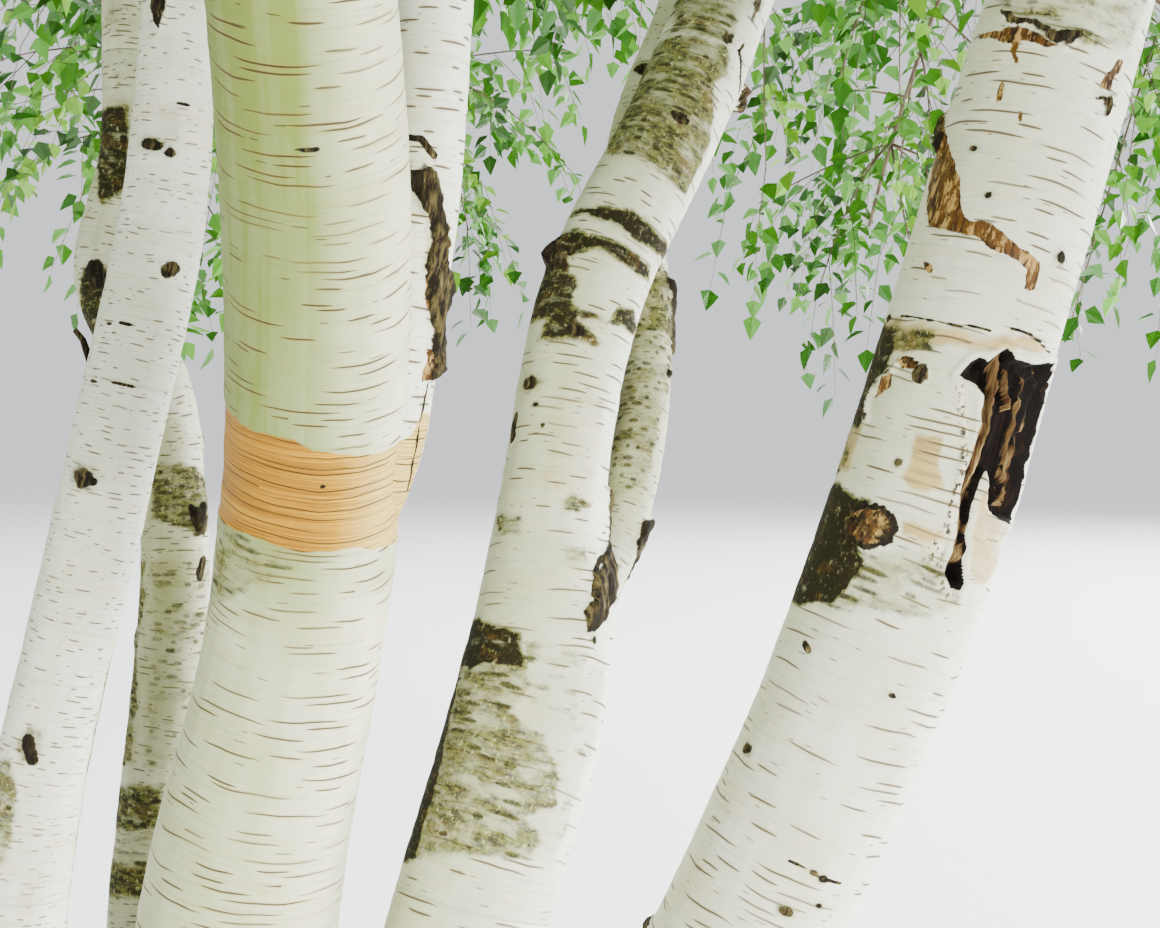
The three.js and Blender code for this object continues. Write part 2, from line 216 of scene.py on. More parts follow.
# One column of a stem's table, read at heights
def readTable(name, column, heights):
    table = stemTables[name]
    values = table[column]
    if values.ndim == 1:
        return np.interp(heights, table["heights"], values)
    return np.stack([np.interp(heights, table["heights"], values[:, k]) for k in range(3)], -1)


# The way from the eye through a pixel, 1 m deep
def pixelWay(pixel):
    return np.array(((pixel[0] - photoView["widthPixels"] / 2) / photoView["focalPixels"], 1.0,
                     (photoView["heightPixels"] / 2 - pixel[1]) / photoView["focalPixels"]))


# Where the ray through a pixel meets a stem: turn round the stem, and length along it. Each step takes
# the stem as a straight cylinder where the last one ended. Past the stem's edge the turn goes on round
# the back by the miss in radii.
def pixelOnStem(name, pixel):
    eye, way = np.array(photoView["eye"]), pixelWay(pixel)
    height = eye[2] + way[2] * photoView["stemDepth"]
    for _ in range(10):
        centre, radius = readStations(name, height)
        across, over, along = (readTable(name, k, height) for k in ("across", "over", "along"))
        flatWay = way - way @ along * along
        flatEye = eye - centre - (eye - centre) @ along * along
        slope = flatWay @ flatWay
        nearest = -(flatEye @ flatWay) / slope
        miss2 = max(flatEye @ flatEye - nearest**2 * slope, 0)
        depth = nearest - math.sqrt(max(radius**2 - miss2, 0) / slope)
        offset = eye + way * depth - centre
        height += (offset @ along) * along[2]
    past = max(math.sqrt(miss2) / radius - 1, 0)
    turn = nearTurn(math.atan2(offset @ over, offset @ across) - front)
    turn = turn + math.copysign(past, offset @ across) + front
    return turn, float(readTable(name, "length", height))


# A mesh from vertices and lists of faces with the same number of corners
def newPiece(name, vertices, faceLists, materials, smooth=True, faceMaterials=None):
    mesh = bpy.data.meshes.new(name)
    mesh.vertices.add(len(vertices))
    mesh.vertices.foreach_set("co", np.ascontiguousarray(vertices, np.float32).ravel())
    corners = np.concatenate([np.asarray(f, np.int32).ravel() for f in faceLists])
    counts = np.concatenate([np.full(len(f), np.shape(f)[1], np.int32) for f in faceLists])
    mesh.loops.add(len(corners))
    mesh.loops.foreach_set("vertex_index", corners)
    mesh.polygons.add(len(counts))
    mesh.polygons.foreach_set("loop_start", np.concatenate([[0], np.cumsum(counts)[:-1]]).astype(np.int32))
    mesh.polygons.foreach_set("use_smooth", np.full(len(counts), smooth))
    for material in materials:
        mesh.materials.append(material)
    if faceMaterials is not None:
        mesh.polygons.foreach_set("material_index", np.asarray(faceMaterials, np.int32))
    mesh.update(calc_edges=True)
    mesh.validate()
    piece = bpy.data.objects.new(name, mesh)
    bpy.context.scene.collection.objects.link(piece)
    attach(piece, "root")
    return piece


# The four-sided faces of a grid of rings, closed round
def ringQuads(rows, columns):
    r = np.arange(rows - 1)[:, None] * columns
    c = np.arange(columns)[None, :]
    n = (c + 1) % columns
    return np.stack([r + c, r + n, r + columns + n, r + columns + c], -1).reshape(-1, 4)


# The faces of a closed tube of rings, with a fan of triangles round a middle point at each end
def ringFaces(rows, columns):
    c = np.arange(columns)
    n = (c + 1) % columns
    last = (rows - 1) * columns
    foot, tip = (np.full(columns, rows * columns + k) for k in (0, 1))
    return ringQuads(rows, columns), np.concatenate([
        np.stack([foot, n, c], -1), np.stack([tip, last + c, last + n], -1)])


# Many thin tubes of the same ring count at once: lines has shape (tubes, rings, 3)
def twigTubes(lines, radii, sides=3):
    tubes, rings, _ = lines.shape
    along = unit(np.gradient(lines, axis=1))
    aside = np.where(np.abs(along[:, :1, 1:2]) < 0.8, (0.0, 1.0, 0.0), (1.0, 0.0, 0.0))
    across = unit(np.cross(aside, along))
    over = np.cross(along, across)
    turn = np.arange(sides) * 2 * math.pi / sides
    vertices = (lines[:, :, None] + radii[:, :, None, None] * spokes(across, over, turn)).reshape(-1, 3)
    ends = np.array([np.arange(sides)[::-1], np.arange(sides) + (rings - 1) * sides])
    shift = (np.arange(tubes) * rings * sides)[:, None, None]
    return vertices, (ringQuads(rings, sides) + shift).reshape(-1, 4), (ends + shift).reshape(-1, sides)


def linear(code):
    channels = [int(code[i : i + 2], 16) / 255 for i in (1, 3, 5)]
    return tuple(c / 12.92 if c <= 0.04045 else ((c + 0.055) / 1.055) ** 2.4 for c in channels) + (1.0,)


# Fills a node's inputs with values or links
def fillInputs(tree, node, inputs):
    for key, value in inputs.items():
        if isinstance(value, bpy.types.NodeSocket):
            tree.links.new(value, node.inputs[key])
        else:
            node.inputs[key].default_value = value


# Adds a node with its properties and inputs, and gives its outputs
def addNode(tree, kind, inputs, **properties):
    made = tree.nodes.new(kind)
    for key, value in properties.items():
        setattr(made, key, value)
    fillInputs(tree, made, inputs)
    return made.outputs


def multiply(tree, vector, factors):
    return addNode(tree, "ShaderNodeVectorMath", {0: vector, 1: factors}, operation="MULTIPLY")[0]


def maths(tree, operation, a, b=0.0, clamp=False):
    return addNode(tree, "ShaderNodeMath", {0: a, 1: b}, operation=operation, use_clamp=clamp)[0]


def noiseValue(tree, vector, scale, detail=3.0, roughness=0.55):
    inputs = {"Vector": vector, "Scale": scale, "Detail": detail, "Roughness": roughness}
    return addNode(tree, "ShaderNodeTexNoise", inputs)["Fac"]


def remap(tree, value, low, high, toLow=0.0, toHigh=1.0):
    inputs = {"Value": value, "From Min": low, "From Max": high, "To Min": toLow, "To Max": toHigh}
    return addNode(tree, "ShaderNodeMapRange", inputs, interpolation_type="SMOOTHSTEP")[0]


def blendColour(tree, mask, below, above):
    return addNode(tree, "ShaderNodeMix", {0: mask, 6: below, 7: above}, data_type="RGBA")[2]


def newMaterial(name, inputs):
    material = bpy.data.materials.new(name)
    material.use_nodes = True
    fillInputs(material.node_tree, material.node_tree.nodes["Principled BSDF"], inputs)
    return material


# A node group: inputs with their first values, vectors where those are tuples, and float outputs
def newGroup(name, inputs, outputs):
    tree = bpy.data.node_groups.new(name, "ShaderNodeTree")
    for label, value in inputs.items():
        kind = "NodeSocketVector" if isinstance(value, tuple) else "NodeSocketFloat"
        tree.interface.new_socket(label, in_out="INPUT", socket_type=kind).default_value = value
    for label in outputs:
        tree.interface.new_socket(label, in_out="OUTPUT", socket_type="NodeSocketFloat")
    return tree, tree.nodes.new("NodeGroupInput").outputs, tree.nodes.new("NodeGroupOutput")


lineRule = {
    "wanderScale": 8.0, "wander": 0.02, # waves to the metre, and how far along the stem in m
    "taperPower": 4.0, "rowShift": 0.6,
    "mask": (1.0, 0.45), "halo": (2.6, 2.0), # half thickness and soft edge, in shares of the line's own
}


# Tapering lines round the stem. The bark is cut into rows along it, each row is turned by its own
# amount and cut into cells, and some of the cells hold one line. Its half thickness at d from its
# middle, in shares of its half length, is thick * (1 - d^4), inside a soft halo.
def makeLineGroup():
    tree, given, out = newGroup("bark_lines", {
        "Vector": (0.0, 0.0, 0.0), "Cells": 6.0, "Row": 0.01, "Thick": 0.0012, "Share": 0.5,
        "Shortest": 0.12, "Longest": 0.45, "Seed": 0.0}, ["Mask", "Halo"])
    calc = partial(maths, tree)

    def dice(a, b):
        at = addNode(tree, "ShaderNodeCombineXYZ", {0: a, 1: b, 2: given["Seed"]})[0]
        return addNode(tree, "ShaderNodeTexWhiteNoise", {"Vector": at}, noise_dimensions="3D")

    xyz = addNode(tree, "ShaderNodeSeparateXYZ", {0: given["Vector"]})
    turn = calc("DIVIDE", calc("ARCTAN2", xyz[1], xyz[0]), 2 * math.pi)
    wander = calc("SUBTRACT", noiseValue(tree, given["Vector"], lineRule["wanderScale"], 2.0), 0.5)
    along = calc("ADD", xyz[2], calc("MULTIPLY", wander, lineRule["wander"]))
    rows = calc("DIVIDE", along, given["Row"])
    row = calc("FLOOR", rows)
    turned = calc("FRACT", calc("ADD", turn, dice(row, 0.5)["Value"]))
    cells = calc("MULTIPLY", turned, given["Cells"])
    chances = addNode(tree, "ShaderNodeSeparateColor", {"Color": dice(calc("FLOOR", cells), row)["Color"]})
    half = addNode(tree, "ShaderNodeMapRange", {
        "Value": chances[1], "To Min": given["Shortest"], "To Max": given["Longest"]})[0]
    room = calc("SUBTRACT", 1.0, calc("MULTIPLY", half, 2.0))
    middle = calc("ADD", 0.5, calc("MULTIPLY", calc("SUBTRACT", chances[2], 0.5), room))
    away = calc("DIVIDE", calc("ABSOLUTE", calc("SUBTRACT", calc("FRACT", cells), middle)), half)
    taper = calc("SUBTRACT", 1.0, calc("POWER", away, lineRule["taperPower"]), clamp=True)
    thin = calc("DIVIDE", given["Thick"], given["Row"])
    # Another chance from the same number: the part of its 37-fold after the point
    offset = calc("SUBTRACT", calc("FRACT", calc("MULTIPLY", chances[0], 37.0)), 0.5)
    fromRow = calc("SUBTRACT", calc("SUBTRACT", calc("FRACT", rows), 0.5),
                   calc("MULTIPLY", offset, lineRule["rowShift"]))
    high = calc("ABSOLUTE", fromRow)
    chosen = calc("LESS_THAN", chances[0], given["Share"])

    # How far a place lies inside thick times the line's own thickness, over a soft edge
    def within(thick, soft):
        inside = calc("SUBTRACT", calc("MULTIPLY", taper, calc("MULTIPLY", thin, thick)), high)
        share = calc("DIVIDE", inside, calc("MULTIPLY", thin, soft), clamp=True)
        return calc("MULTIPLY", share, chosen)

    fillInputs(tree, out, {"Mask": within(*lineRule["mask"]), "Halo": within(*lineRule["halo"])})
    return tree


# A soft painted mask broken up by noise, so that its edge frays
def makeFrayGroup():
    tree, given, out = newGroup("frayed_mask", {
        "Vector": (0.0, 0.0, 0.0), "Mask": 0.0, "Scale": (60.0, 60.0, 60.0), "Fray": 0.6, "Softness": 0.15},
        ["Mask"])
    calc = partial(maths, tree)
    grain = noiseValue(tree, multiply(tree, given["Vector"], given["Scale"]), 1.0, 5.0, 0.65)
    level = calc("ADD", given["Mask"], calc("MULTIPLY", calc("SUBTRACT", grain, 0.5), given["Fray"]))
    low, high = calc("SUBTRACT", 0.5, given["Softness"]), calc("ADD", 0.5, given["Softness"])
    painted = calc("MULTIPLY", given["Mask"], 6.0, clamp=True)
    fillInputs(tree, out, {"Mask": calc("MULTIPLY", remap(tree, level, low, high), painted)})
    return tree


lineGroup = makeLineGroup()
frayGroup = makeFrayGroup()

# Finishes of bark. Lines: cells round the stem, row height and half thickness in metres, share of cells
# Each finish's film colour is a green film that also stands for painted shade on the side away from the
# lights
barkFinishes = {
    "long_lined": {
        "light": "#efeed2", "shade": "#dddcb8", "warm": "#e6d6a8", "filmAndShade": "#5f7008",
        "line": "#2f1f0a", "halo": "#94783a",
        "lines": (5.2, 0.0118, 0.0014, 0.66), "dashes": (16.0, 0.018, 0.0011, 0.1), "dirt": 0.1,
    },
    "lined": {
        "light": "#f0efe6", "shade": "#dfdece", "warm": "#ead9bf", "filmAndShade": "#848c46",
        "line": "#43341d", "halo": "#a3956c",
        "lines": (6.0, 0.013, 0.0016, 0.52), "dashes": (24.0, 0.012, 0.0011, 0.12), "dirt": 0.2,
    },
    "short_lined": {
        "light": "#f0efe6", "shade": "#dfdecf", "warm": "#edd8c2", "filmAndShade": "#848c46",
        "line": "#493f2a", "halo": "#a89d78",
        "lines": (13.0, 0.0095, 0.0011, 0.4), "dashes": (24.0, 0.009, 0.001, 0.14), "dirt": 0.16,
    },
    "mottled": {
        "light": "#e6e5d6", "shade": "#c2c2a6", "warm": "#dccdaa", "filmAndShade": "#787d3a",
        "line": "#3f381f", "halo": "#8f8a62",
        "lines": (8.0, 0.0095, 0.0013, 0.45), "dashes": (16.0, 0.008, 0.0014, 0.2), "dirt": 0.5,
    },
    "bough_bark": {
        "light": "#b9ab95", "shade": "#7d6a57", "warm": "#8d6749", "filmAndShade": "#8a8a63",
        "line": "#d8cdb8", "halo": "#5f4c3c",
        "lines": (7.0, 0.008, 0.0008, 0.5), "dashes": (12.0, 0.006, 0.0008, 0.2), "dirt": 0.4,
    },
}
barkLayers = {
    "moss": "#63652c", "mossDark": "#1a1705", "mossPale": "#c2c086", "mossBrown": "#5e4519",
    "soiled": "#7c7d50",
    "bare": "#8f6405", "barePale": "#c2941a", "bareLine": "#331c05",
    "bareShade": "#825202", "bareSun": "#e6cd80",
    "rust": "#52350f", "rustDark": "#1e0f05", "rustPale": "#a3834a",
    "tan": "#ab8b42", "tanDark": "#84682c",
    "rough": "#140f08", "roughLight": "#4d4326", "roughPale": "#8e845a",
    # The darkest dead colour is painted shade on the floor of the wound's hollow
    "deadAndHollowShade": "#0c0704", "deadLight": "#66502e", "deadRed": "#351c0c", "deadPale": "#b39868",
}
barkMasks = ("mossy", "rough", "bare", "deadAndHollowShade", "strand", "tan", "rust", "filmAndShade", "specked")
# Noise in the bark: grains to the metre round the stem and along it, detail and roughness
barkGrains = {
    "patches": (9.0, 9.0, 3.0, 0.55), "rings": (5.0, 60.0, 4.0, 0.6), "streaks": (42.0, 2.5, 2.0, 0.55),
    "papery": (9.0, 330.0, 3.0, 0.55), "tan": (12.0, 150.0, 3.0, 0.55), "specked": (200.0, 130.0, 3.0, 0.55),
    "fade": (4.0, 7.0, 2.0, 0.55), "dirt": (34.0, 95.0, 5.0, 0.68), "fibres": (260.0, 15.0, 5.0, 0.68),
    "specks": (70.0, 160.0, 5.0, 0.75), "flecks": (150.0, 110.0, 4.0, 0.7), "brown": (22.0, 38.0, 4.0, 0.65),
    "matted": (120.0, 20.0, 4.0, 0.7), "threads": (6.0, 520.0, 3.0, 0.55),
    "bareStreaks": (30.0, 5.0, 3.0, 0.55), "peel": (130.0, 26.0, 5.0, 0.7), "pale": (100.0, 40.0, 5.0, 0.7),
    "cracks": (170.0, 40.0, 5.0, 0.7), "fissures": (46.0, 12.0, 4.0, 0.6), "relief": (60.0, 300.0, 4.0, 0.55),
}
# How the edges of the masks fray: noise to the metre round and along the stem, how far, and how softly
barkEdges = {
    "tan": (26.0, 60.0, 0.7, 0.34), "mossy": (20.0, 46.0, 1.5, 0.2), "bare": (40.0, 40.0, 0.1, 0.06),
    "rust": (95.0, 60.0, 0.9, 0.12), "rough": (70.0, 70.0, 0.9, 0.1), "deadAndHollowShade": (120.0, 60.0, 0.35, 0.08),
}
# Lines in the moss and on the bare band, as in the finishes, then seed, least and greatest half length
layerLines = {
    "blots": (11.0, 0.0145, 0.0019, 0.62, 5.0, 0.12, 0.45),
    "bareRings": (1.6, 0.0145, 0.0012, 0.95, 3.0, 0.36, 0.5),
    "bareHairs": (2.5, 0.0048, 0.0006, 0.75, 4.0, 0.25, 0.49),
}


# A bark's material. The plain one leaves out all that needs a mask other than the green film, which is partly
# painted shade.
def makeBark(name, painted):
    finish = barkFinishes[name]
    codes = {**barkLayers, **finish}
    material = newMaterial(name + ("_painted" if painted else ""), {"Specular IOR Level": 0.15})
    tree = material.node_tree
    calc, step = partial(maths, tree), partial(remap, tree)
    place = addNode(tree, "ShaderNodeAttribute", {}, attribute_name="bark")["Vector"]
    masks = {key: addNode(tree, "ShaderNodeAttribute", {}, attribute_name=key)["Fac"] for key in barkMasks}

    def times(a, b, clamp=False):
        return calc("MULTIPLY", a, b, clamp)

    # One colour over another, each given as a name or a socket
    def blend(mask, below, above):
        below, above = (linear(codes[c]) if isinstance(c, str) else c for c in (below, above))
        return blendColour(tree, mask, below, above)

    def layer(below, mask, share, above):
        return blend(times(mask, share), below, above)

    def grain(key):
        around, along, detail, roughness = barkGrains[key]
        return noiseValue(tree, multiply(tree, place, (around, around, along)), 1.0, detail, roughness)

    def frayed(key, mask):
        around, along, fray, soft = barkEdges[key]
        return addNode(tree, "ShaderNodeGroup", {
            "Vector": place, "Mask": mask, "Scale": (around, around, along), "Fray": fray, "Softness": soft},
            node_tree=frayGroup)["Mask"]

    def lines(cells, row, thick, share, seed, shortest, longest):
        return addNode(tree, "ShaderNodeGroup", {
            "Vector": place, "Cells": cells, "Row": row, "Thick": thick, "Share": share, "Seed": seed,
            "Shortest": shortest, "Longest": longest}, node_tree=lineGroup)

    # Papery ground: broad patches, warm rings, soft streaks along the stem and fine rings round it
    rings, streaks = grain("rings"), step(grain("streaks"), 0.42, 0.62)
    colour = blend(step(grain("patches"), 0.36, 0.66), "light", "shade")
    colour = layer(colour, step(rings, 0.5, 0.7), 0.5, "warm")
    colour = layer(colour, streaks, 0.35, "shade")
    colour = layer(colour, step(grain("papery"), 0.5, 0.66), 0.22, "filmAndShade")
    # Green film, partly painted shade: thickest on the left side, away from the key and rim lights
    colour = blend(times(masks["filmAndShade"], step(streaks, 0.0, 1.0, 0.95, 1.0)), colour, "filmAndShade")
    if painted:
        # Peels that show the tan skin, and torn paper with dark specks along an old seam
        tanTone = blend(step(grain("tan"), 0.48, 0.66), "tan", "tanDark")
        colour = layer(colour, frayed("tan", masks["tan"]), 0.85, tanTone)
        colour = layer(colour, masks["specked"], 0.35, "warm")
        colour = layer(colour, times(masks["specked"], step(grain("specked"), 0.53, 0.6)), 0.95, "rustDark")
    # Lenticels, and dirt that gathers in short streaks round the stem
    long, short = lines(*finish["lines"], 1.0, 0.12, 0.45), lines(*finish["dashes"], 2.0, 0.1, 0.3)
    fade = step(grain("fade"), 0.34, 0.5, 0.6, 1.0)
    longMask = times(long["Mask"], fade)
    colour = layer(colour, times(long["Halo"], fade), 0.4, "halo")
    colour = layer(colour, longMask, 0.9, "line")
    colour = layer(colour, short["Mask"], 0.65, "line")
    colour = layer(colour, step(grain("dirt"), 0.57, 0.68), finish["dirt"], "moss")
    # Relief: lines stand up, fine grain and papery rings
    heights = [(calc("ADD", longMask, short["Mask"]), 0.5), (grain("relief"), 0.3), (rings, 0.6)]
    roughness = 0.5
    if painted:
        # Soiled paper, clumps of moss broken up by blots in rows, darker and matted where it is thick
        mossy = masks["mossy"]
        colour = layer(colour, times(mossy, 1.3, clamp=True), 0.58, "soiled")
        blots = lines(*layerLines["blots"])["Halo"]
        moss = frayed("mossy", times(mossy, step(blots, 0.0, 1.0, 0.84, 1.14)))
        fibres, specks, flecks = grain("fibres"), grain("specks"), grain("flecks")
        thick = calc("MINIMUM", calc("SUBTRACT", 0.8, mossy), 0.0)
        tone = blend(step(calc("ADD", specks, thick), 0.42, 0.55), "mossDark", "moss")
        tone = layer(tone, step(grain("brown"), 0.52, 0.66), 0.5, "mossBrown")
        tone = layer(tone, step(flecks, 0.56, 0.66), step(mossy, 0.75, 1.0, 0.55, 0.3), "mossPale")
        tone = layer(tone, step(flecks, 0.42, 0.34), 0.8, "mossDark")
        matted = times(step(grain("matted"), 0.42, 0.54), step(mossy, 0.75, 1.0))
        tone = layer(tone, matted, 0.85, "mossDark")
        colour = blend(times(moss, step(mossy, 0.7, 0.95, 0.9, 1.0)), colour, tone)
        blotted = times(times(blots, step(mossy, 0.1, 0.6)), step(flecks, 0.36, 0.56, 0.45, 1.0))
        colour = layer(colour, blotted, 0.78, "mossDark")
        # The band without its paper, with dark rings that nearly close
        tone = blend(step(grain("threads"), 0.4, 0.66), "bare", "barePale")
        tone = layer(tone, step(grain("bareStreaks"), 0.5, 0.7), 0.3, "barePale")
        # Painted shade on the band where the green film is thick, on the side away from the lights, and
        # painted light where it is thin
        tone = layer(tone, step(masks["filmAndShade"], 0.6, 0.94), 0.5, "bareShade")
        tone = layer(tone, step(masks["filmAndShade"], 0.7, 0.2), 0.5, "bareSun")
        tone = layer(tone, lines(*layerLines["bareRings"])["Mask"], 0.92, "bareLine")
        tone = layer(tone, lines(*layerLines["bareHairs"])["Mask"], 0.55, "bareLine")
        colour = blend(frayed("bare", masks["bare"]), colour, tone)
        # Rust-brown peels
        tone = blend(step(grain("peel"), 0.38, 0.56), "rustDark", "rust")
        tone = layer(tone, step(grain("pale"), 0.5, 0.6), 0.9, "rustPale")
        colour = blend(frayed("rust", masks["rust"]), colour, tone)
        # Cracked black bark
        rough, cracks = frayed("rough", masks["rough"]), grain("cracks")
        tone = blend(step(cracks, 0.44, 0.6), "rough", "roughLight")
        tone = layer(tone, step(cracks, 0.61, 0.72), 0.8, "roughPale")
        tone = layer(tone, step(grain("fissures"), 0.5, 0.43), 0.85, "rough")
        colour = blend(rough, colour, tone)
        # Dead wood: fibres on the strands, and between them a near-black floor that is painted shade in the
        # hollow
        deadAndHollowShade = frayed("deadAndHollowShade", masks["deadAndHollowShade"])
        wood = blend(step(fibres, 0.36, 0.62), "deadRed", "deadLight")
        wood = layer(wood, step(fibres, 0.56, 0.7), 0.6, "deadPale")
        torn = calc("ADD", masks["strand"], times(calc("SUBTRACT", fibres, 0.5), 1.6))
        hollowShadeTone = layer("deadAndHollowShade", step(fibres, 0.55, 0.7), 0.7, "deadRed")
        colour = blend(deadAndHollowShade, colour, blend(step(torn, 0.36, 0.62), hollowShadeTone, wood))
        dull = calc("MAXIMUM", calc("MAXIMUM", rough, deadAndHollowShade), times(moss, 0.8))
        roughness = step(dull, 0.0, 1.0, 0.5, 0.9)
        heights += [(times(specks, moss), 0.9), (times(cracks, rough), 3.0), (times(fibres, deadAndHollowShade), 2.5)]
    height = times(*heights[0])
    for value, share in heights[1:]:
        height = calc("ADD", height, times(value, share))
    bump = addNode(tree, "ShaderNodeBump", {"Height": height, "Strength": 0.6, "Distance": 0.002})
    fillInputs(tree, tree.nodes["Principled BSDF"], {
        "Base Color": colour, "Roughness": roughness, "Normal": bump["Normal"]})
    return material


plainBark = {name: makeBark(name, False) for name in barkFinishes}
paintedBark = {name: makeBark(name, True) for name in barkFinishes}
print("bark finishes made")

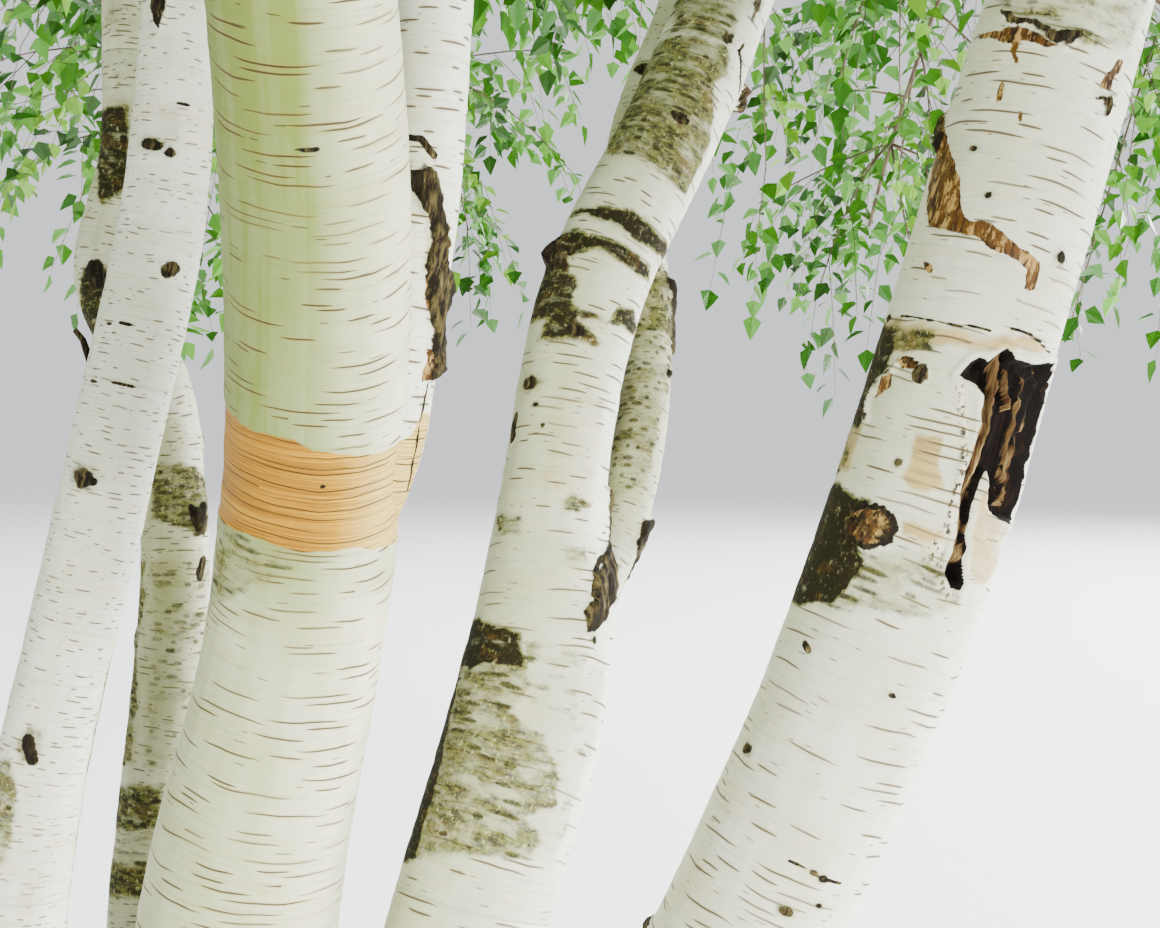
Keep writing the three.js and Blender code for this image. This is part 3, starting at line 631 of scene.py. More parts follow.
# Areas of bark as the photograph shows them, by stem: kind, how strong, pixels round the edge
barkAreas = {
    "front_stem": [
        # Green film that is partly painted shade
        ("filmAndShade", 0.8, [(205, 505), (250, 530), (312, 550), (306, 584), (260, 590), (190, 640)]),
        ("filmAndShade", 0.42, [(290, 545), (410, 535), (400, 585), (290, 590)]),
        ("mossy", 0.5, [(200, 506), (250, 540), (302, 552), (292, 572), (250, 588), (190, 612)]),
    ],
    "left_stem": [
        ("mossy", 0.62, [(24, 722), (38, 728), (44, 752), (38, 762), (22, 766), (12, 745)]),
        ("mossy", 0.72, [(-14, 760), (14, 760), (16, 800), (8, 862), (-14, 870)]),
        ("tan", 0.35, [(20, 880), (40, 882), (36, 926), (14, 926)]),
        ("mossy", 0.3, [(160, 103), (184, 103), (182, 138), (164, 140)]),
        ("rough", 0.9, [(150, -6), (172, -6), (165, 18), (160, 28), (153, 12)]),
    ],
    "elbow_stem": [
        ("mossy", 0.9, [(96, 112), (114, 104), (128, 104), (128, 190), (116, 198), (98, 204), (92, 150)]),
        ("mossy", 0.9, [(84, 268), (102, 262), (112, 290), (110, 330), (96, 372), (84, 330)]),
        ("mossy", 0.78, [(150, 466), (190, 462), (206, 480), (214, 520), (196, 540), (170, 520), (150, 520)]),
        ("rough", 1.0, [(188, 502), (198, 506), (202, 500), (206, 520), (204, 536), (196, 536), (188, 518)]),
        ("mossy", 0.8, [(112, 560), (146, 560), (140, 640), (138, 700), (132, 764), (112, 772)]),
        ("mossy", 0.42, [(150, 560), (212, 560), (204, 660), (178, 764), (142, 764)]),
        ("mossy", 0.84, [(100, 786), (166, 784), (160, 828), (100, 830)]),
        ("mossy", 0.35, [(100, 830), (158, 830), (152, 862), (100, 864)]),
        ("mossy", 0.84, [(96, 864), (154, 862), (148, 898), (96, 900)]),
    ],
    "front_fork_stem": [
        ("rough", 1.0, [
            (417, 165), (428, 166), (436, 170), (440, 184), (447, 198), (446, 214), (444, 224), (441, 232),
            (447, 241), (446, 262), (448, 278), (447, 296), (450, 304), (446, 327), (448, 345), (446, 361),
            (439, 378), (431, 382), (429, 349), (430, 324), (428, 296), (430, 273), (432, 243), (430, 231),
            (424, 214), (420, 198), (410, 186), (410, 167)]),
        ("bare", 1.0, [(360, 452), (411, 436), (424, 412), (436, 420), (424, 480), (410, 536), (360, 552)]),
        ("rust", 1.0, [(426, 276), (433, 272), (435, 300), (430, 312), (426, 304)]),
        ("rust", 1.0, [(426, 350), (432, 346), (434, 376), (424, 384)]),
    ],
    "middle_stem": [
        ("mossy", 0.76, [
            (674, 38), (694, 36), (709, 42), (725, 46), (728, 56), (727, 79), (716, 84), (715, 107),
            (713, 135), (708, 152), (701, 168), (694, 181), (687, 194), (680, 187), (669, 177), (655, 167),
            (632, 159), (606, 156), (608, 130), (624, 104), (640, 76), (655, 50)]),
        ("mossy", 0.66, [(664, -8), (745, -8), (735, 35), (722, 44), (694, 36), (668, 38)]),
        ("rough", 1.0, [(549, 240), (562, 238), (570, 249), (566, 262), (552, 268), (545, 256)]),
        ("mossy", 0.85, [(540, 256), (566, 262), (575, 280), (572, 300), (545, 310), (526, 306)]),
        ("tan", 0.34, [(550, 376), (590, 372), (606, 400), (602, 470), (580, 504), (540, 490), (546, 430)]),
        ("mossy", 0.95, [
            (573, 214), (580, 209), (614, 207), (632, 209), (650, 223), (660, 237), (667, 251), (663, 262),
            (648, 251), (632, 239), (619, 228), (601, 221), (580, 216), (566, 223)]),
        ("mossy", 0.95, [
            (555, 233), (580, 231), (605, 236), (628, 247), (642, 259), (650, 271), (648, 284), (635, 274),
            (623, 263), (605, 253), (591, 249), (576, 253), (569, 261), (566, 275), (541, 284), (535, 262)]),
        ("mossy", 0.9, [
            (530, 280), (575, 275), (580, 285), (573, 298), (576, 305), (601, 312), (607, 323), (594, 321),
            (580, 319), (603, 339), (591, 345), (537, 341), (548, 323), (522, 321), (526, 300)]),
        ("mossy", 0.9, [(610, 320), (618, 308), (632, 312), (640, 330), (632, 336), (620, 330)]),
        ("mossy", 0.8, [(562, 500), (570, 494), (594, 498), (590, 506), (580, 512), (562, 512)]),
        ("mossy", 0.6, [(496, 514), (520, 516), (522, 536), (498, 538)]),
        ("mossy", 0.5, [(562, 545), (584, 546), (590, 566), (580, 580), (562, 560)]),
        ("mossy", 1.0, [(440, 646), (470, 648), (500, 654), (524, 660), (528, 672), (470, 668), (440, 662)]),
        ("mossy", 0.95, [
            (466, 617), (487, 621), (522, 631), (522, 648), (528, 663), (514, 671), (499, 667), (487, 663),
            (470, 664), (458, 660)]),
        ("mossy", 0.5, [(522, 640), (588, 652), (580, 668), (528, 664)]),
        ("mossy", 0.95, [(440, 650), (466, 650), (452, 720), (432, 800), (414, 862), (388, 862)]),
        ("mossy", 0.68, [
            (460, 660), (526, 668), (532, 690), (510, 712), (540, 730), (556, 764), (560, 806), (530, 816),
            (548, 840), (530, 862), (478, 860), (402, 862), (430, 800)]),
        ("mossy", 0.3, [(526, 672), (604, 668), (596, 740), (574, 800), (556, 858), (520, 858), (530, 740)]),
        ("clean", 1.0, [(542, 648), (560, 649), (560, 657), (543, 656)]),
        ("rough", 1.0, [
            (608, 494), (617, 488), (628, 494), (640, 502), (650, 512), (646, 524), (640, 534), (638, 548),
            (630, 562), (622, 575), (615, 588), (609, 602), (602, 620), (592, 634), (580, 638), (580, 618),
            (586, 606), (590, 590), (597, 578), (599, 566), (603, 548), (608, 530), (607, 512)]),
    ],
    "middle_fork_stem": [
        ("rough", 1.0, [
            (638, 523), (644, 516), (654, 518), (654, 543), (652, 567), (646, 592), (640, 590), (634, 573),
            (634, 543)]),
        ("rust", 1.0, [(636, 530), (641, 532), (641, 580), (636, 582)]),
        ("mossy", 0.78, [(636, 250), (684, 280), (684, 346), (650, 330), (640, 300)]),
        ("mossy", 0.5, [
            (640, 280), (680, 300), (678, 360), (660, 420), (650, 480), (612, 500), (610, 430), (628, 360)]),
    ],
    "right_stem": [
        ("mossy", 0.5, [(990, -8), (1150, -8), (1128, 52), (1085, 50), (1040, 42), (1006, 14)]),
        ("rough", 0.95, [
            (1004, 16), (1014, 17), (1026, 22), (1036, 27), (1048, 30), (1062, 35), (1082, 39), (1088, 44),
            (1074, 47), (1056, 44), (1040, 37), (1018, 29), (1006, 24)]),
        ("rust", 0.8, [
            (978, 32), (1000, 34), (1012, 26), (1032, 33), (1060, 46), (1048, 48), (1020, 42), (1018, 66),
            (1012, 66), (1012, 44), (998, 42), (980, 38)]),
        ("rust", 1.0, [(1001, 76), (1004, 90), (1005, 101), (997, 101), (998, 86)]),
        ("rust", 0.9, [(1018, 112), (1023, 113), (1022, 123), (1017, 122)]),
        ("rust", 1.0, [(1116, 62), (1122, 64), (1114, 82), (1108, 92), (1100, 88), (1108, 74)]),
        ("rough", 0.9, [(1096, 95), (1106, 95), (1104, 108), (1098, 112)]),
        ("rust", 1.0, [
            (940, 112), (948, 112), (950, 149), (953, 159), (958, 179), (960, 199), (966, 214), (983, 221),
            (998, 229), (1006, 239), (1020, 250), (1040, 262), (1036, 290), (1024, 288), (1026, 268),
            (1004, 256), (976, 236), (953, 229), (935, 227), (928, 222), (926, 199), (930, 174), (932, 149),
            (932, 126)]),
        ("rough", 0.9, [(936, 112), (948, 114), (946, 136), (940, 156), (934, 150)]),
        ("rust", 0.9, [(922, 258), (932, 262), (934, 272), (926, 273)]),
        ("mossy", 0.8, [(884, 322), (910, 324), (936, 328), (930, 352), (900, 350), (882, 352)]),
        ("tan", 0.66, [
            (882, 318), (899, 318), (946, 326), (989, 333), (1010, 332), (1040, 346), (1030, 356),
            (1014, 350), (985, 352), (925, 346), (895, 353), (878, 356)]),
        ("tan", 0.9, [(1013, 332), (1034, 336), (1050, 354), (1036, 352), (1018, 346)]),
        ("mossy", 0.92, [
            (866, 330), (884, 322), (897, 330), (893, 352), (884, 376), (868, 398), (858, 430), (842, 432)]),
        ("mossy", 0.6, [(842, 426), (858, 426), (846, 470), (826, 476)]),
        ("rust", 0.75, [(893, 372), (891, 386), (880, 394), (872, 400), (884, 378)]),
        ("rough", 0.62, [(900, 356), (893, 372), (872, 396), (866, 422), (862, 420), (867, 396), (886, 372)]),
        ("rust", 0.7, [(895, 356), (908, 357), (912, 367), (900, 368)]),
        ("tan", 1.0, [(914, 434), (941, 436), (941, 490), (912, 489), (898, 480), (912, 466)]),
        ("tan", 1.0, [(900, 522), (944, 528), (944, 540), (902, 537)]),
        ("tan", 0.7, [(846, 424), (862, 424), (850, 474), (830, 476)]),
        ("mossy", 1.0, [
            (818, 486), (838, 482), (858, 492), (872, 502), (862, 515), (862, 548), (866, 560), (850, 592),
            (834, 605), (784, 605), (796, 550)]),
        ("mossy", 0.5, [(846, 548), (940, 556), (960, 600), (930, 618), (826, 606)]),
        ("tan", 0.62, [
            (988, 476), (992, 506), (1008, 528), (1002, 560), (985, 588), (966, 586), (968, 540),
            (976, 505)]),
        ("tan", 0.5, [(940, 540), (930, 560), (900, 545), (905, 532), (945, 536)]),
        ("deadAndHollowShade", 1.0, [
            (959, 376), (973, 362), (981, 357), (989, 363), (996, 355), (1008, 348), (1013, 351), (1017, 361),
            (1034, 364), (1048, 362), (1058, 365), (1058, 377), (1056, 396), (1048, 407), (1042, 430),
            (1036, 445), (1031, 468), (1021, 491), (1016, 520), (1009, 526), (1000, 520), (990, 509),
            (988, 501), (990, 480), (987, 470), (982, 480), (973, 503), (965, 533), (966, 549), (962, 558),
            (964, 583), (958, 591), (948, 589), (943, 575), (952, 554), (956, 539), (958, 516), (962, 484),
            (973, 453), (981, 422), (983, 396), (975, 386)]),
    ],
}
areaKinds = {
    "mossy": {"ragged": 6.0, "soft": 11.0, "lift": 0.3},
    "filmAndShade": {"ragged": 6.0, "soft": 30.0, "lift": 0.0},
    "tan": {"ragged": 5.0, "soft": 12.0, "lift": -0.3},
    "rust": {"ragged": 4.5, "soft": 4.5, "lift": -0.8},
    "bare": {"ragged": 2.0, "soft": 5.0, "lift": -1.4},
    "rough": {"ragged": 9.0, "soft": 8.0, "lift": 9.0},
    "clean": {"ragged": 2.0, "soft": 4.0, "lift": 0.0},
    "deadAndHollowShade": {"ragged": 3.0, "soft": 4.0, "lift": 0.0},
}
# Marks on the bark, by stem: kind, one pixel or a line of pixels, half width and height, proud, in mm
barkMarks = {
    "left_stem": [
        ("knot", [(153, 145)], (15, 8), 3),
        ("knot", [(170, 153)], (7, 6), 2),
        ("rough", [(172, 268), (168, 272)], (11, 8), 3),
        ("knot", [(84, 478)], (13, 12), 5),
        ("rough", [(94, 482)], (6, 5), 3),
        ("rough", [(28, 742), (32, 758)], (8, 10), 2),
        ("line", [(101, 325), (120, 323), (146, 327)], (3, 1.0), 0.5),
        ("line", [(90, 381), (115, 383), (142, 388)], (3, 1.0), 0.5),
        ("line", [(167, 104), (184, 104), (196, 109)], (3, 1.2), 0.5),
    ],
    "elbow_stem": [
        ("knot", [(113, 20)], (9, 8), 4),
        ("rough", [(95, 268), (100, 280)], (16, 12), 6),
        ("knot", [(126, 640)], (9, 13), 4),
        ("rough", [(203, 562), (200, 576)], (8, 8), 4),
    ],
    "front_stem": [
        ("line", [(296, 152), (316, 151)], (4, 1.8), 0.8),
        ("knot", [(323, 487)], (3, 2.5), 0.5),
    ],
    "front_fork_stem": [
        ("line", [(408, 137), (421, 139), (434, 155)], (4, 4), 2),
        ("line", [(428, 386), (424, 408), (418, 440), (413, 468), (410, 492)], (2, 4), 1),
    ],
    "middle_stem": [
        ("knot", [(557, 254)], (13, 13), 6),
        ("knot", [(576, 330)], (14, 9), 4),
        ("knot", [(530, 383)], (15, 9), 3),
        ("knot", [(542, 425)], (3.5, 3), 1),
        ("knot", [(535, 404)], (5, 3), 1),
        ("rough", [(514, 420), (512, 436)], (7, 12), 2),
        ("burl", [(750, 88), (746, 104)], (10, 10), 16),
        ("knot", [(680, 118)], (15, 9), 4),
        ("knot", [(727, 39)], (10, 9), 4),
        ("knot", [(755, 8)], (12, 10), 4),
        ("line", [(753, 16), (753, 34)], (2.5, 6), 0),
        ("line", [(738, 46), (741, 60), (740, 80), (738, 94)], (2, 4), 1),
        ("line", [(607, 548), (598, 562), (594, 574), (592, 595)], (3, 5), 1.5),
        ("knot", [(594, 640)], (4, 5), 1),
    ],
    "middle_fork_stem": [
        ("knot", [(644, 70)], (14, 10), 5),
        ("rough", [(668, 283), (676, 296), (679, 314), (674, 334), (671, 350)], (8, 9), 10),
        ("rough", [(667, 374)], (7, 7), 8),
    ],
    "right_stem": [
        ("burl", [(870, 526)], (31, 25), 10),
        ("burl", [(906, 360), (914, 364)], (8, 5), 1),
        ("rough", [(921, 374)], (10, 11), 4),
        ("rough", [(888, 318)], (8, 5), 2),
        ("stitch", [
            (959, 386), (962, 412), (965, 440), (962, 470), (952, 500), (946, 532), (934, 548)], (4, 5), 1),
        ("stitch", [(934, 548), (932, 562), (944, 578), (948, 592)], (10, 9), 2),
        ("line", [(900, 316), (925, 320), (946, 324), (968, 326), (990, 331)], (2, 1.6), 1.5),
        ("line", [(1011, 329), (1024, 332), (1038, 340), (1050, 353)], (2, 1.8), 1.5),
        ("knot", [(973, 148)], (5, 4), 1),
        ("knot", [(988, 195)], (5, 4), 1),
        ("knot", [(899, 463)], (4, 4), 1),
        ("knot", [(1060, 258)], (7, 7), 2),
        ("knot", [(748, 749)], (9, 7), 3),
        ("knot", [(891, 695)], (5, 2.5), 0.8),
        ("knot", [(813, 872)], (6, 3), 1),
        ("knot", [(822, 878)], (5, 4), 1.5),
        ("line", [(790, 861), (812, 872), (840, 884)], (3, 1.6), 0.6),
        ("knot", [(819, 906)], (5, 3), 1),
        ("knot", [(786, 910)], (8, 6), 3),
        ("rough", [(805, 644), (808, 650)], (5, 5), 1.5),
        ("rough", [(634, 922)], (22, 16), 8),
    ],
}
# Strands of dead wood that stand in the wound: half width in mm, how pale, and pixels from top to bottom
woundStrands = [
    (10, 1.0, [(1000, 360), (996, 377), (998, 392), (994, 407), (987, 430), (978, 453), (971, 472),
               (964, 491), (960, 511), (957, 535), (953, 556)]),
    (3.5, 0.95, [(1010, 372), (1008, 392), (1013, 410)]),
    (2, 0.8, [(1031, 380), (1027, 400), (1023, 419), (1015, 444), (1010, 463), (1006, 484), (1004, 507)]),
    (4.5, 0.62, [(1027, 440), (1019, 459), (1013, 482), (1009, 502)]),
    (4, 0.55, [(1046, 372), (1048, 392), (1042, 412), (1036, 434)]),
]
wound = {"depth": 24.0, "wall": 8.0, "strandHeight": 19.0, "fibres": 5.0, "lip": 3.5} # mm
# The peeled band round the front stem: pixels along its upper and lower edges
peeledBand = {
    "stem": "front_stem",
    "upper": [(232, 411), (254, 431), (292, 441), (313, 451), (358, 453), (411, 435), (423, 414)],
    "lower": [(219, 514), (248, 535), (278, 545), (319, 552), (355, 550), (401, 541)],
    "depth": 1.4, "lip": 0.9, # mm
    "ragged": 0.006, # m
}
relief = {
    "swell": 0.028, # of the radius
    "rings": 0.7, # mm
    "grain": 0.3, # mm
    "cracks": 7.0, # mm
    "footCracks": 9.0, # mm
    "footHeight": 0.36, # m over which the dark foot fades out
    "lumps": 4.5, # mm, on painted rough bark
    "burl": 3.5, # mm
}
# Noise in the relief: grains to the metre round the stem and along it, seed and octaves
reliefNoise = {
    "swell": (7.0, 3.2, 1, 3), "rings": (5.0, 34.0, 2, 3), "grain": (60.0, 130.0, 3, 2),
    "torn": (13.0, 5.0, 4, 3), "filmAndShade": (5.0, 3.0, 5, 3), "mossy": (4.0, 2.6, 7, 3),
    "cracks": (24.0, 11.0, 8, 3), "markEdge": (130.0, 130.0, 9, 2), "burl": (110.0, 110.0, 12, 3),
    "fibres": (120.0, 12.0, 32, 3), "strands": (45.0, 22.0, 33, 3), "lumps": (70.0, 32.0, 41, 4),
}
# Knots: rim and its width, hollow and its width, in shares of how proud and how large they are
knotShapes = {"scar": (1.5, 1.6, 1.4, 0.6), "knot": (1.6, 1.5, 1.5, 0.55)}
flare = {"share": 0.3, "lobes": 5, "lobeShare": 0.2, "height": 0.15}
# How green the left side, away from the key and rim lights, is: a green film that is partly painted shade.
# Also between which heights in metres the bark shows
filmAndShadeShare = {
    "all round": 0.1, "front_stem": 1.02, "right_stem": 0.5, "middle_stem": 0.62, "left_stem": 0.45,
    "elbow_stem": 0.7, "front_fork_stem": 0.35, "middle_fork_stem": 0.6,
}
filmAndShadeRule = {"away": (-0.9, -0.35, 0.1), "belowBand": 0.62, "most": 0.94}
shownHeights = (0.88, 2.14)


# Branch scars where the photograph doesn't show the bark, by a seeded rule: places in metres along the
# stem, sizes in shares of its radius
scarRule = {
    "seed": 900, "clearEnds": (0.35, 0.3), "apart": (0.06, 0.3), "size": (0.1, 0.24), "wide": (1.0, 1.5),
    "tall": 0.8, "proud": (1.5, 4.0), "shownSide": -0.25,
    "brow": ((-0.18, 0.6), (0, 1.9), (0.18, 0.6)), # turn, and rise in shares of the height
}


def wildMarks(name):
    draw = np.random.default_rng(scarRule["seed"] + list(stemStations).index(name))
    table = stemTables[name]
    scars = []
    at = scarRule["clearEnds"][0]
    while at < table["length"][-1] - scarRule["clearEnds"][1]:
        radius, height = (np.interp(at, table["length"], table[k]) for k in ("radius", "heights"))
        turn = draw.uniform(-math.pi, math.pi)
        size = draw.uniform(*scarRule["size"]) * radius / mm
        faces = math.cos(turn - front) > scarRule["shownSide"]
        if not (shownHeights[0] < height < shownHeights[1] and faces):
            scars.append((turn, at, (size * draw.uniform(*scarRule["wide"]), size * scarRule["tall"]),
                          draw.uniform(*scarRule["proud"])))
        at += draw.uniform(*scarRule["apart"])
    return scars


# Distance from a line of places on the unrolled bark, in shares of half its width and height
def markDistance(places, turn, length, radius, size):
    first = places[0][0]
    aside = nearTurn(turn - first)
    scaled = [((aside - markTurn + first) * radius / (size[0] * mm), (length - markLength) / (size[1] * mm))
              for markTurn, markLength in places]
    if len(scaled) == 1:
        return np.hypot(*scaled[0])
    best = np.inf
    for (ax, ay), (bx, by) in zip(scaled[:-1], scaled[1:]):
        dx, dy = ax - bx, ay - by
        t = np.clip((ax * dx + ay * dy) / np.maximum(dx * dx + dy * dy, 1e-12), 0, 1)
        best = np.minimum(best, np.hypot(ax - dx * t, ay - dy * t))
    return best


# Signed distance in metres from an outline on the unrolled bark, positive inside it
def areaDistance(places, x, y):
    distance = np.full(x.shape, np.inf)
    inside = np.zeros(x.shape, bool)
    for (ax, ay), (bx, by) in zip(places, places[1:] + places[:1]):
        dx, dy = bx - ax, by - ay
        t = np.clip(((x - ax) * dx + (y - ay) * dy) / max(dx * dx + dy * dy, 1e-12), 0, 1)
        distance = np.minimum(distance, np.hypot(x - ax - dx * t, y - ay - dy * t))
        if dy:
            inside ^= ((ay > y) != (by > y)) & (x < ax + (y - ay) * dx / dy)
    return np.where(inside, distance, -distance)


# The rim of a knot less its hollow, at a distance in shares of its size
def knotLift(away, kind):
    rim, rimWidth, hollow, hollowWidth = knotShapes[kind]
    return rim * np.exp(-(away / rimWidth) ** 2) - hollow * np.exp(-(away / hollowWidth) ** 2)


# Relief in metres and masks over rings of a stem: turn, length, radius and height are (rows, columns)
def barkShape(name, turn, length, radius, height, outward):
    place = np.stack([radius * np.cos(turn), radius * np.sin(turn), length], -1)
    masks = {key: np.zeros(length.shape) for key in barkMasks}
    seed = list(stemStations).index(name) * 10

    def noise(key, rows=slice(None)):
        around, along, own, octaves = reliefNoise[key]
        return cloud(place[rows] * np.array((around, around, along)), seed + own, octaves)

    def raiseMask(key, rows, values):
        masks[key][rows] = np.maximum(masks[key][rows], values)

    def awayFrom(places, rows, size):
        return markDistance(places, turn[rows], length[rows], radius[rows], size)

    def rowsNear(lengths, reach):
        return (length[:, 0] > min(lengths) - reach) & (length[:, 0] < max(lengths) + reach)

    # Swells, papery rings and fine grain
    lift = radius * relief["swell"] * noise("swell")
    lift += relief["rings"] * mm * noise("rings")
    lift += relief["grain"] * mm * noise("grain")
    # Dark, torn bark at the foot, a green film that is partly painted shade on the side away from the key and
    # rim lights, and moss where the photograph shows none
    foot = np.exp(-np.maximum(height, 0) / relief["footHeight"]) if name in rootedStems else 0 * height
    torn = 0.4 * smoothStep(0.8, 0.5, height) * noise("torn")
    masks["rough"] += smoothStep(0.36, 0.62, foot + torn)
    # Painted shade: the side that faces away from the key and rim lights takes more of the green film
    shaded = smoothStep(-1.05, 0.45, outward @ np.array(filmAndShadeRule["away"]))
    filmAndShade = filmAndShadeShare[name] * (filmAndShadeShare["all round"] + (1 - filmAndShadeShare["all round"]) * shaded)
    if name == peeledBand["stem"]:
        filmAndShade = filmAndShade * (filmAndShadeRule["belowBand"] + (1 - filmAndShadeRule["belowBand"]) * smoothStep(1.3, 1.5, height))
    masks["filmAndShade"] += np.minimum(filmAndShade * (0.94 + 0.14 * noise("filmAndShade")), filmAndShadeRule["most"])
    lowest, highest = shownHeights
    shown = smoothStep(-0.3, 0.1, np.cos(turn - front)) * smoothStep(lowest - 0.1, lowest, height)
    shown = shown * smoothStep(highest + 0.1, highest, height)
    masks["mossy"] += smoothStep(0.12, 0.75, noise("mossy")) * (1 - shown)
    for markTurn, at, (wide, tall), proud in wildMarks(name):
        rows = np.abs(length[:, 0] - at) < tall * mm * 5
        if rows.any():
            away = awayFrom([(markTurn, at)], rows, (wide, tall))
            brow = awayFrom([(markTurn + aside, at + rise * tall * mm) for aside, rise in scarRule["brow"]],
                            rows, (wide * 0.5, tall * 0.5))
            lift[rows] += proud * mm * knotLift(away, "scar")
            raiseMask("rough", rows, 1.25 - 0.75 * away)
            raiseMask("mossy", rows, 0.85 - 0.4 * brow)
    for kind, pixels, size, proud in barkMarks[name]:
        places = [pixelOnStem(name, p) for p in pixels]
        rows = rowsNear([p[1] for p in places], size[1] * mm * 4)
        if not rows.any():
            continue
        away = awayFrom(places, rows, size) + 0.22 * noise("markEdge", rows)
        if kind == "knot":
            lift[rows] += proud * mm * knotLift(away, "knot")
            raiseMask("mossy", rows, 0.95 - 0.4 * away)
        else:
            lift[rows] += proud * mm * smoothStep(1.3, 0.3, away)
        if kind == "stitch":
            raiseMask("specked", rows, smoothStep(1.6, 0.7, away))
        elif kind == "burl":
            inner = smoothStep(1.15, 0.7, away)
            lift[rows] += relief["burl"] * mm * inner * noise("burl", rows)
            raiseMask("rust", rows, inner)
            raiseMask("rough", rows, np.maximum(0.9 - 2.4 * np.abs(away - 1.0), 0.5 * inner))
        else:
            raiseMask("rough", rows, 1.35 - 0.8 * away)
    for kind, amount, pixels in barkAreas[name]:
        rule = areaKinds[kind]
        places = [pixelOnStem(name, p) for p in pixels]
        turns, lengths = zip(*places)
        rows = rowsNear(lengths, 0.04)
        if not rows.any():
            continue
        middle = (min(turns) + max(turns)) / 2
        table = stemTables[name]
        across = np.interp((min(lengths) + max(lengths)) / 2, table["length"], table["radius"])
        spot = place[rows] * 34
        x = nearTurn(turn[rows] - middle) * across + rule["ragged"] * mm * cloud(spot, seed + 11, 4)
        y = length[rows] + rule["ragged"] * mm * cloud(spot, seed + 21, 4)
        within = areaDistance([((t - middle) * across, l) for t, l in places], x, y)
        mask = amount * np.clip(0.5 + within / (rule["soft"] * mm), 0, 1)
        if kind == "clean":
            masks["mossy"][rows] *= 1 - mask
            continue
        raiseMask(kind, rows, mask)
        lift[rows] += rule["lift"] * mm * mask
        if kind == "rough":
            lift[rows] += relief["lumps"] * mm * mask * noise("lumps", rows)
        if kind == "deadAndHollowShade":
            hollow = smoothStep(0, wound["wall"] * mm, within)
            strand = np.zeros(hollow.shape)
            for width, pale, line in woundStrands:
                away = awayFrom([pixelOnStem(name, p) for p in line], rows, (width, width))
                strand = np.maximum(strand, pale * np.exp(-(away + 0.4 * cloud(spot * 2.5, seed + 31)) ** 2))
            fibre = noise("fibres", rows)
            knotty = 1 + 0.4 * noise("strands", rows)
            grown = strand * knotty * wound["strandHeight"] + wound["fibres"] * fibre
            lift[rows] += (grown - wound["depth"]) * mm * hollow
            lift[rows] += wound["lip"] * mm * np.exp(-((within + 0.006) / 0.005) ** 2)
            masks["strand"][rows] = np.clip(strand + 0.3 * fibre, 0, 1)
    if name == peeledBand["stem"]:
        edges = []
        for side in ("upper", "lower"):
            turns, lengths = zip(*sorted(pixelOnStem(name, p) for p in peeledBand[side]))
            edge = np.interp(nearTurn(turn - front) + front, turns, lengths)
            edges.append(edge + peeledBand["ragged"] * cloud(place * 14, seed + 6 + len(edges)))
        within = np.minimum(edges[0] - length, length - edges[1])
        masks["bare"] = np.maximum(masks["bare"], 0.5 + within / 0.004)
        lift -= peeledBand["depth"] * mm * smoothStep(-0.002, 0.003, within)
        lift += peeledBand["lip"] * mm * np.exp(-((within + 0.004) / 0.004) ** 2)
    crack = 1 - np.abs(noise("cracks")) * 1.7
    depth = relief["cracks"] + (relief["footCracks"] - relief["cracks"]) * foot
    lift += (crack - 0.55) * depth * mm * np.clip(masks["rough"], 0, 1) * 0.6
    return lift, masks, place


# Gives each vertex its place on the bark and its masks. Faces that no mask reaches but the green film,
# which is partly painted shade, take the plain bark, which looks the same there and renders faster.
def paintBark(piece, finish, place, masks):
    mesh = piece.data
    attributes = mesh.attributes
    attributes.new("bark", "FLOAT_VECTOR", "POINT").data.foreach_set(
        "vector", np.ascontiguousarray(place, np.float32).ravel())
    marked = np.zeros(len(place), bool)
    for key, mask in masks.items():
        values = np.clip(mask, 0, 1).astype(np.float32)
        attributes.new(key, "FLOAT", "POINT").data.foreach_set("value", values)
        marked |= (mask > 0) & (key != "filmAndShade")
    corners, starts = np.empty(len(mesh.loops), np.int32), np.empty(len(mesh.polygons), np.int32)
    mesh.loops.foreach_get("vertex_index", corners)
    mesh.polygons.foreach_get("loop_start", starts)
    reached = np.logical_or.reduceat(marked[corners], starts)
    index = np.zeros(len(starts), np.int32)
    for material, faces in ((paintedBark[finish], reached), (plainBark[finish], ~reached)):
        if faces.any():
            index[faces] = len(mesh.materials)
            mesh.materials.append(material)
    mesh.polygons.foreach_set("material_index", index)


# A closed tube of bark from points along it: size, ring, place and masks are by rows and columns
def barkTube(name, finish, points, size, ring, place, masks):
    def withEnds(values):
        return np.concatenate([values.reshape(-1, *values.shape[2:]), values[:1, 0], values[-1:, 0]])

    vertices = (points[:, None] + size[..., None] * ring).reshape(-1, 3)
    vertices = np.concatenate([vertices, points[:1], points[-1:]])
    vertices[:, 2] = np.maximum(vertices[:, 2], 0)
    piece = newPiece(name, vertices, ringFaces(*size.shape), [])
    paintBark(piece, finish, withEnds(place), {key: withEnds(mask) for key, mask in masks.items()})
    return piece


# A length of a stem's bark between two heights, with rings square to the stem
def stemBark(name, label, lowest, highest, rowStep, columns, nodes):
    rows = max(int((highest - lowest) / rowStep) + 1, 4)
    heights = np.linspace(lowest, highest, rows)
    points, radius = readStations(name, heights)
    even = np.arange(columns) * 2 * math.pi / columns
    turn = np.tile(even - stemPieces["crowding"] * np.sin(even - front), (rows, 1))
    length, radius, height = (values[:, None] + 0 * turn
                              for values in (readTable(name, "length", heights), radius, heights))
    ring = spokes(readTable(name, "across", heights), readTable(name, "over", heights), turn)
    lift, masks, place = barkShape(name, turn, length, radius, height, ring)
    if name in rootedStems:
        fade = np.exp(-np.maximum(height, 0) / flare["height"])
        radius = radius * (1 + fade * (flare["share"] - flare["lobeShare"] * np.cos(flare["lobes"] * turn)))
    piece = barkTube(f"{name}_{label}", stemFinish[name], points, radius + lift, ring, place, masks)
    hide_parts(*nodes)


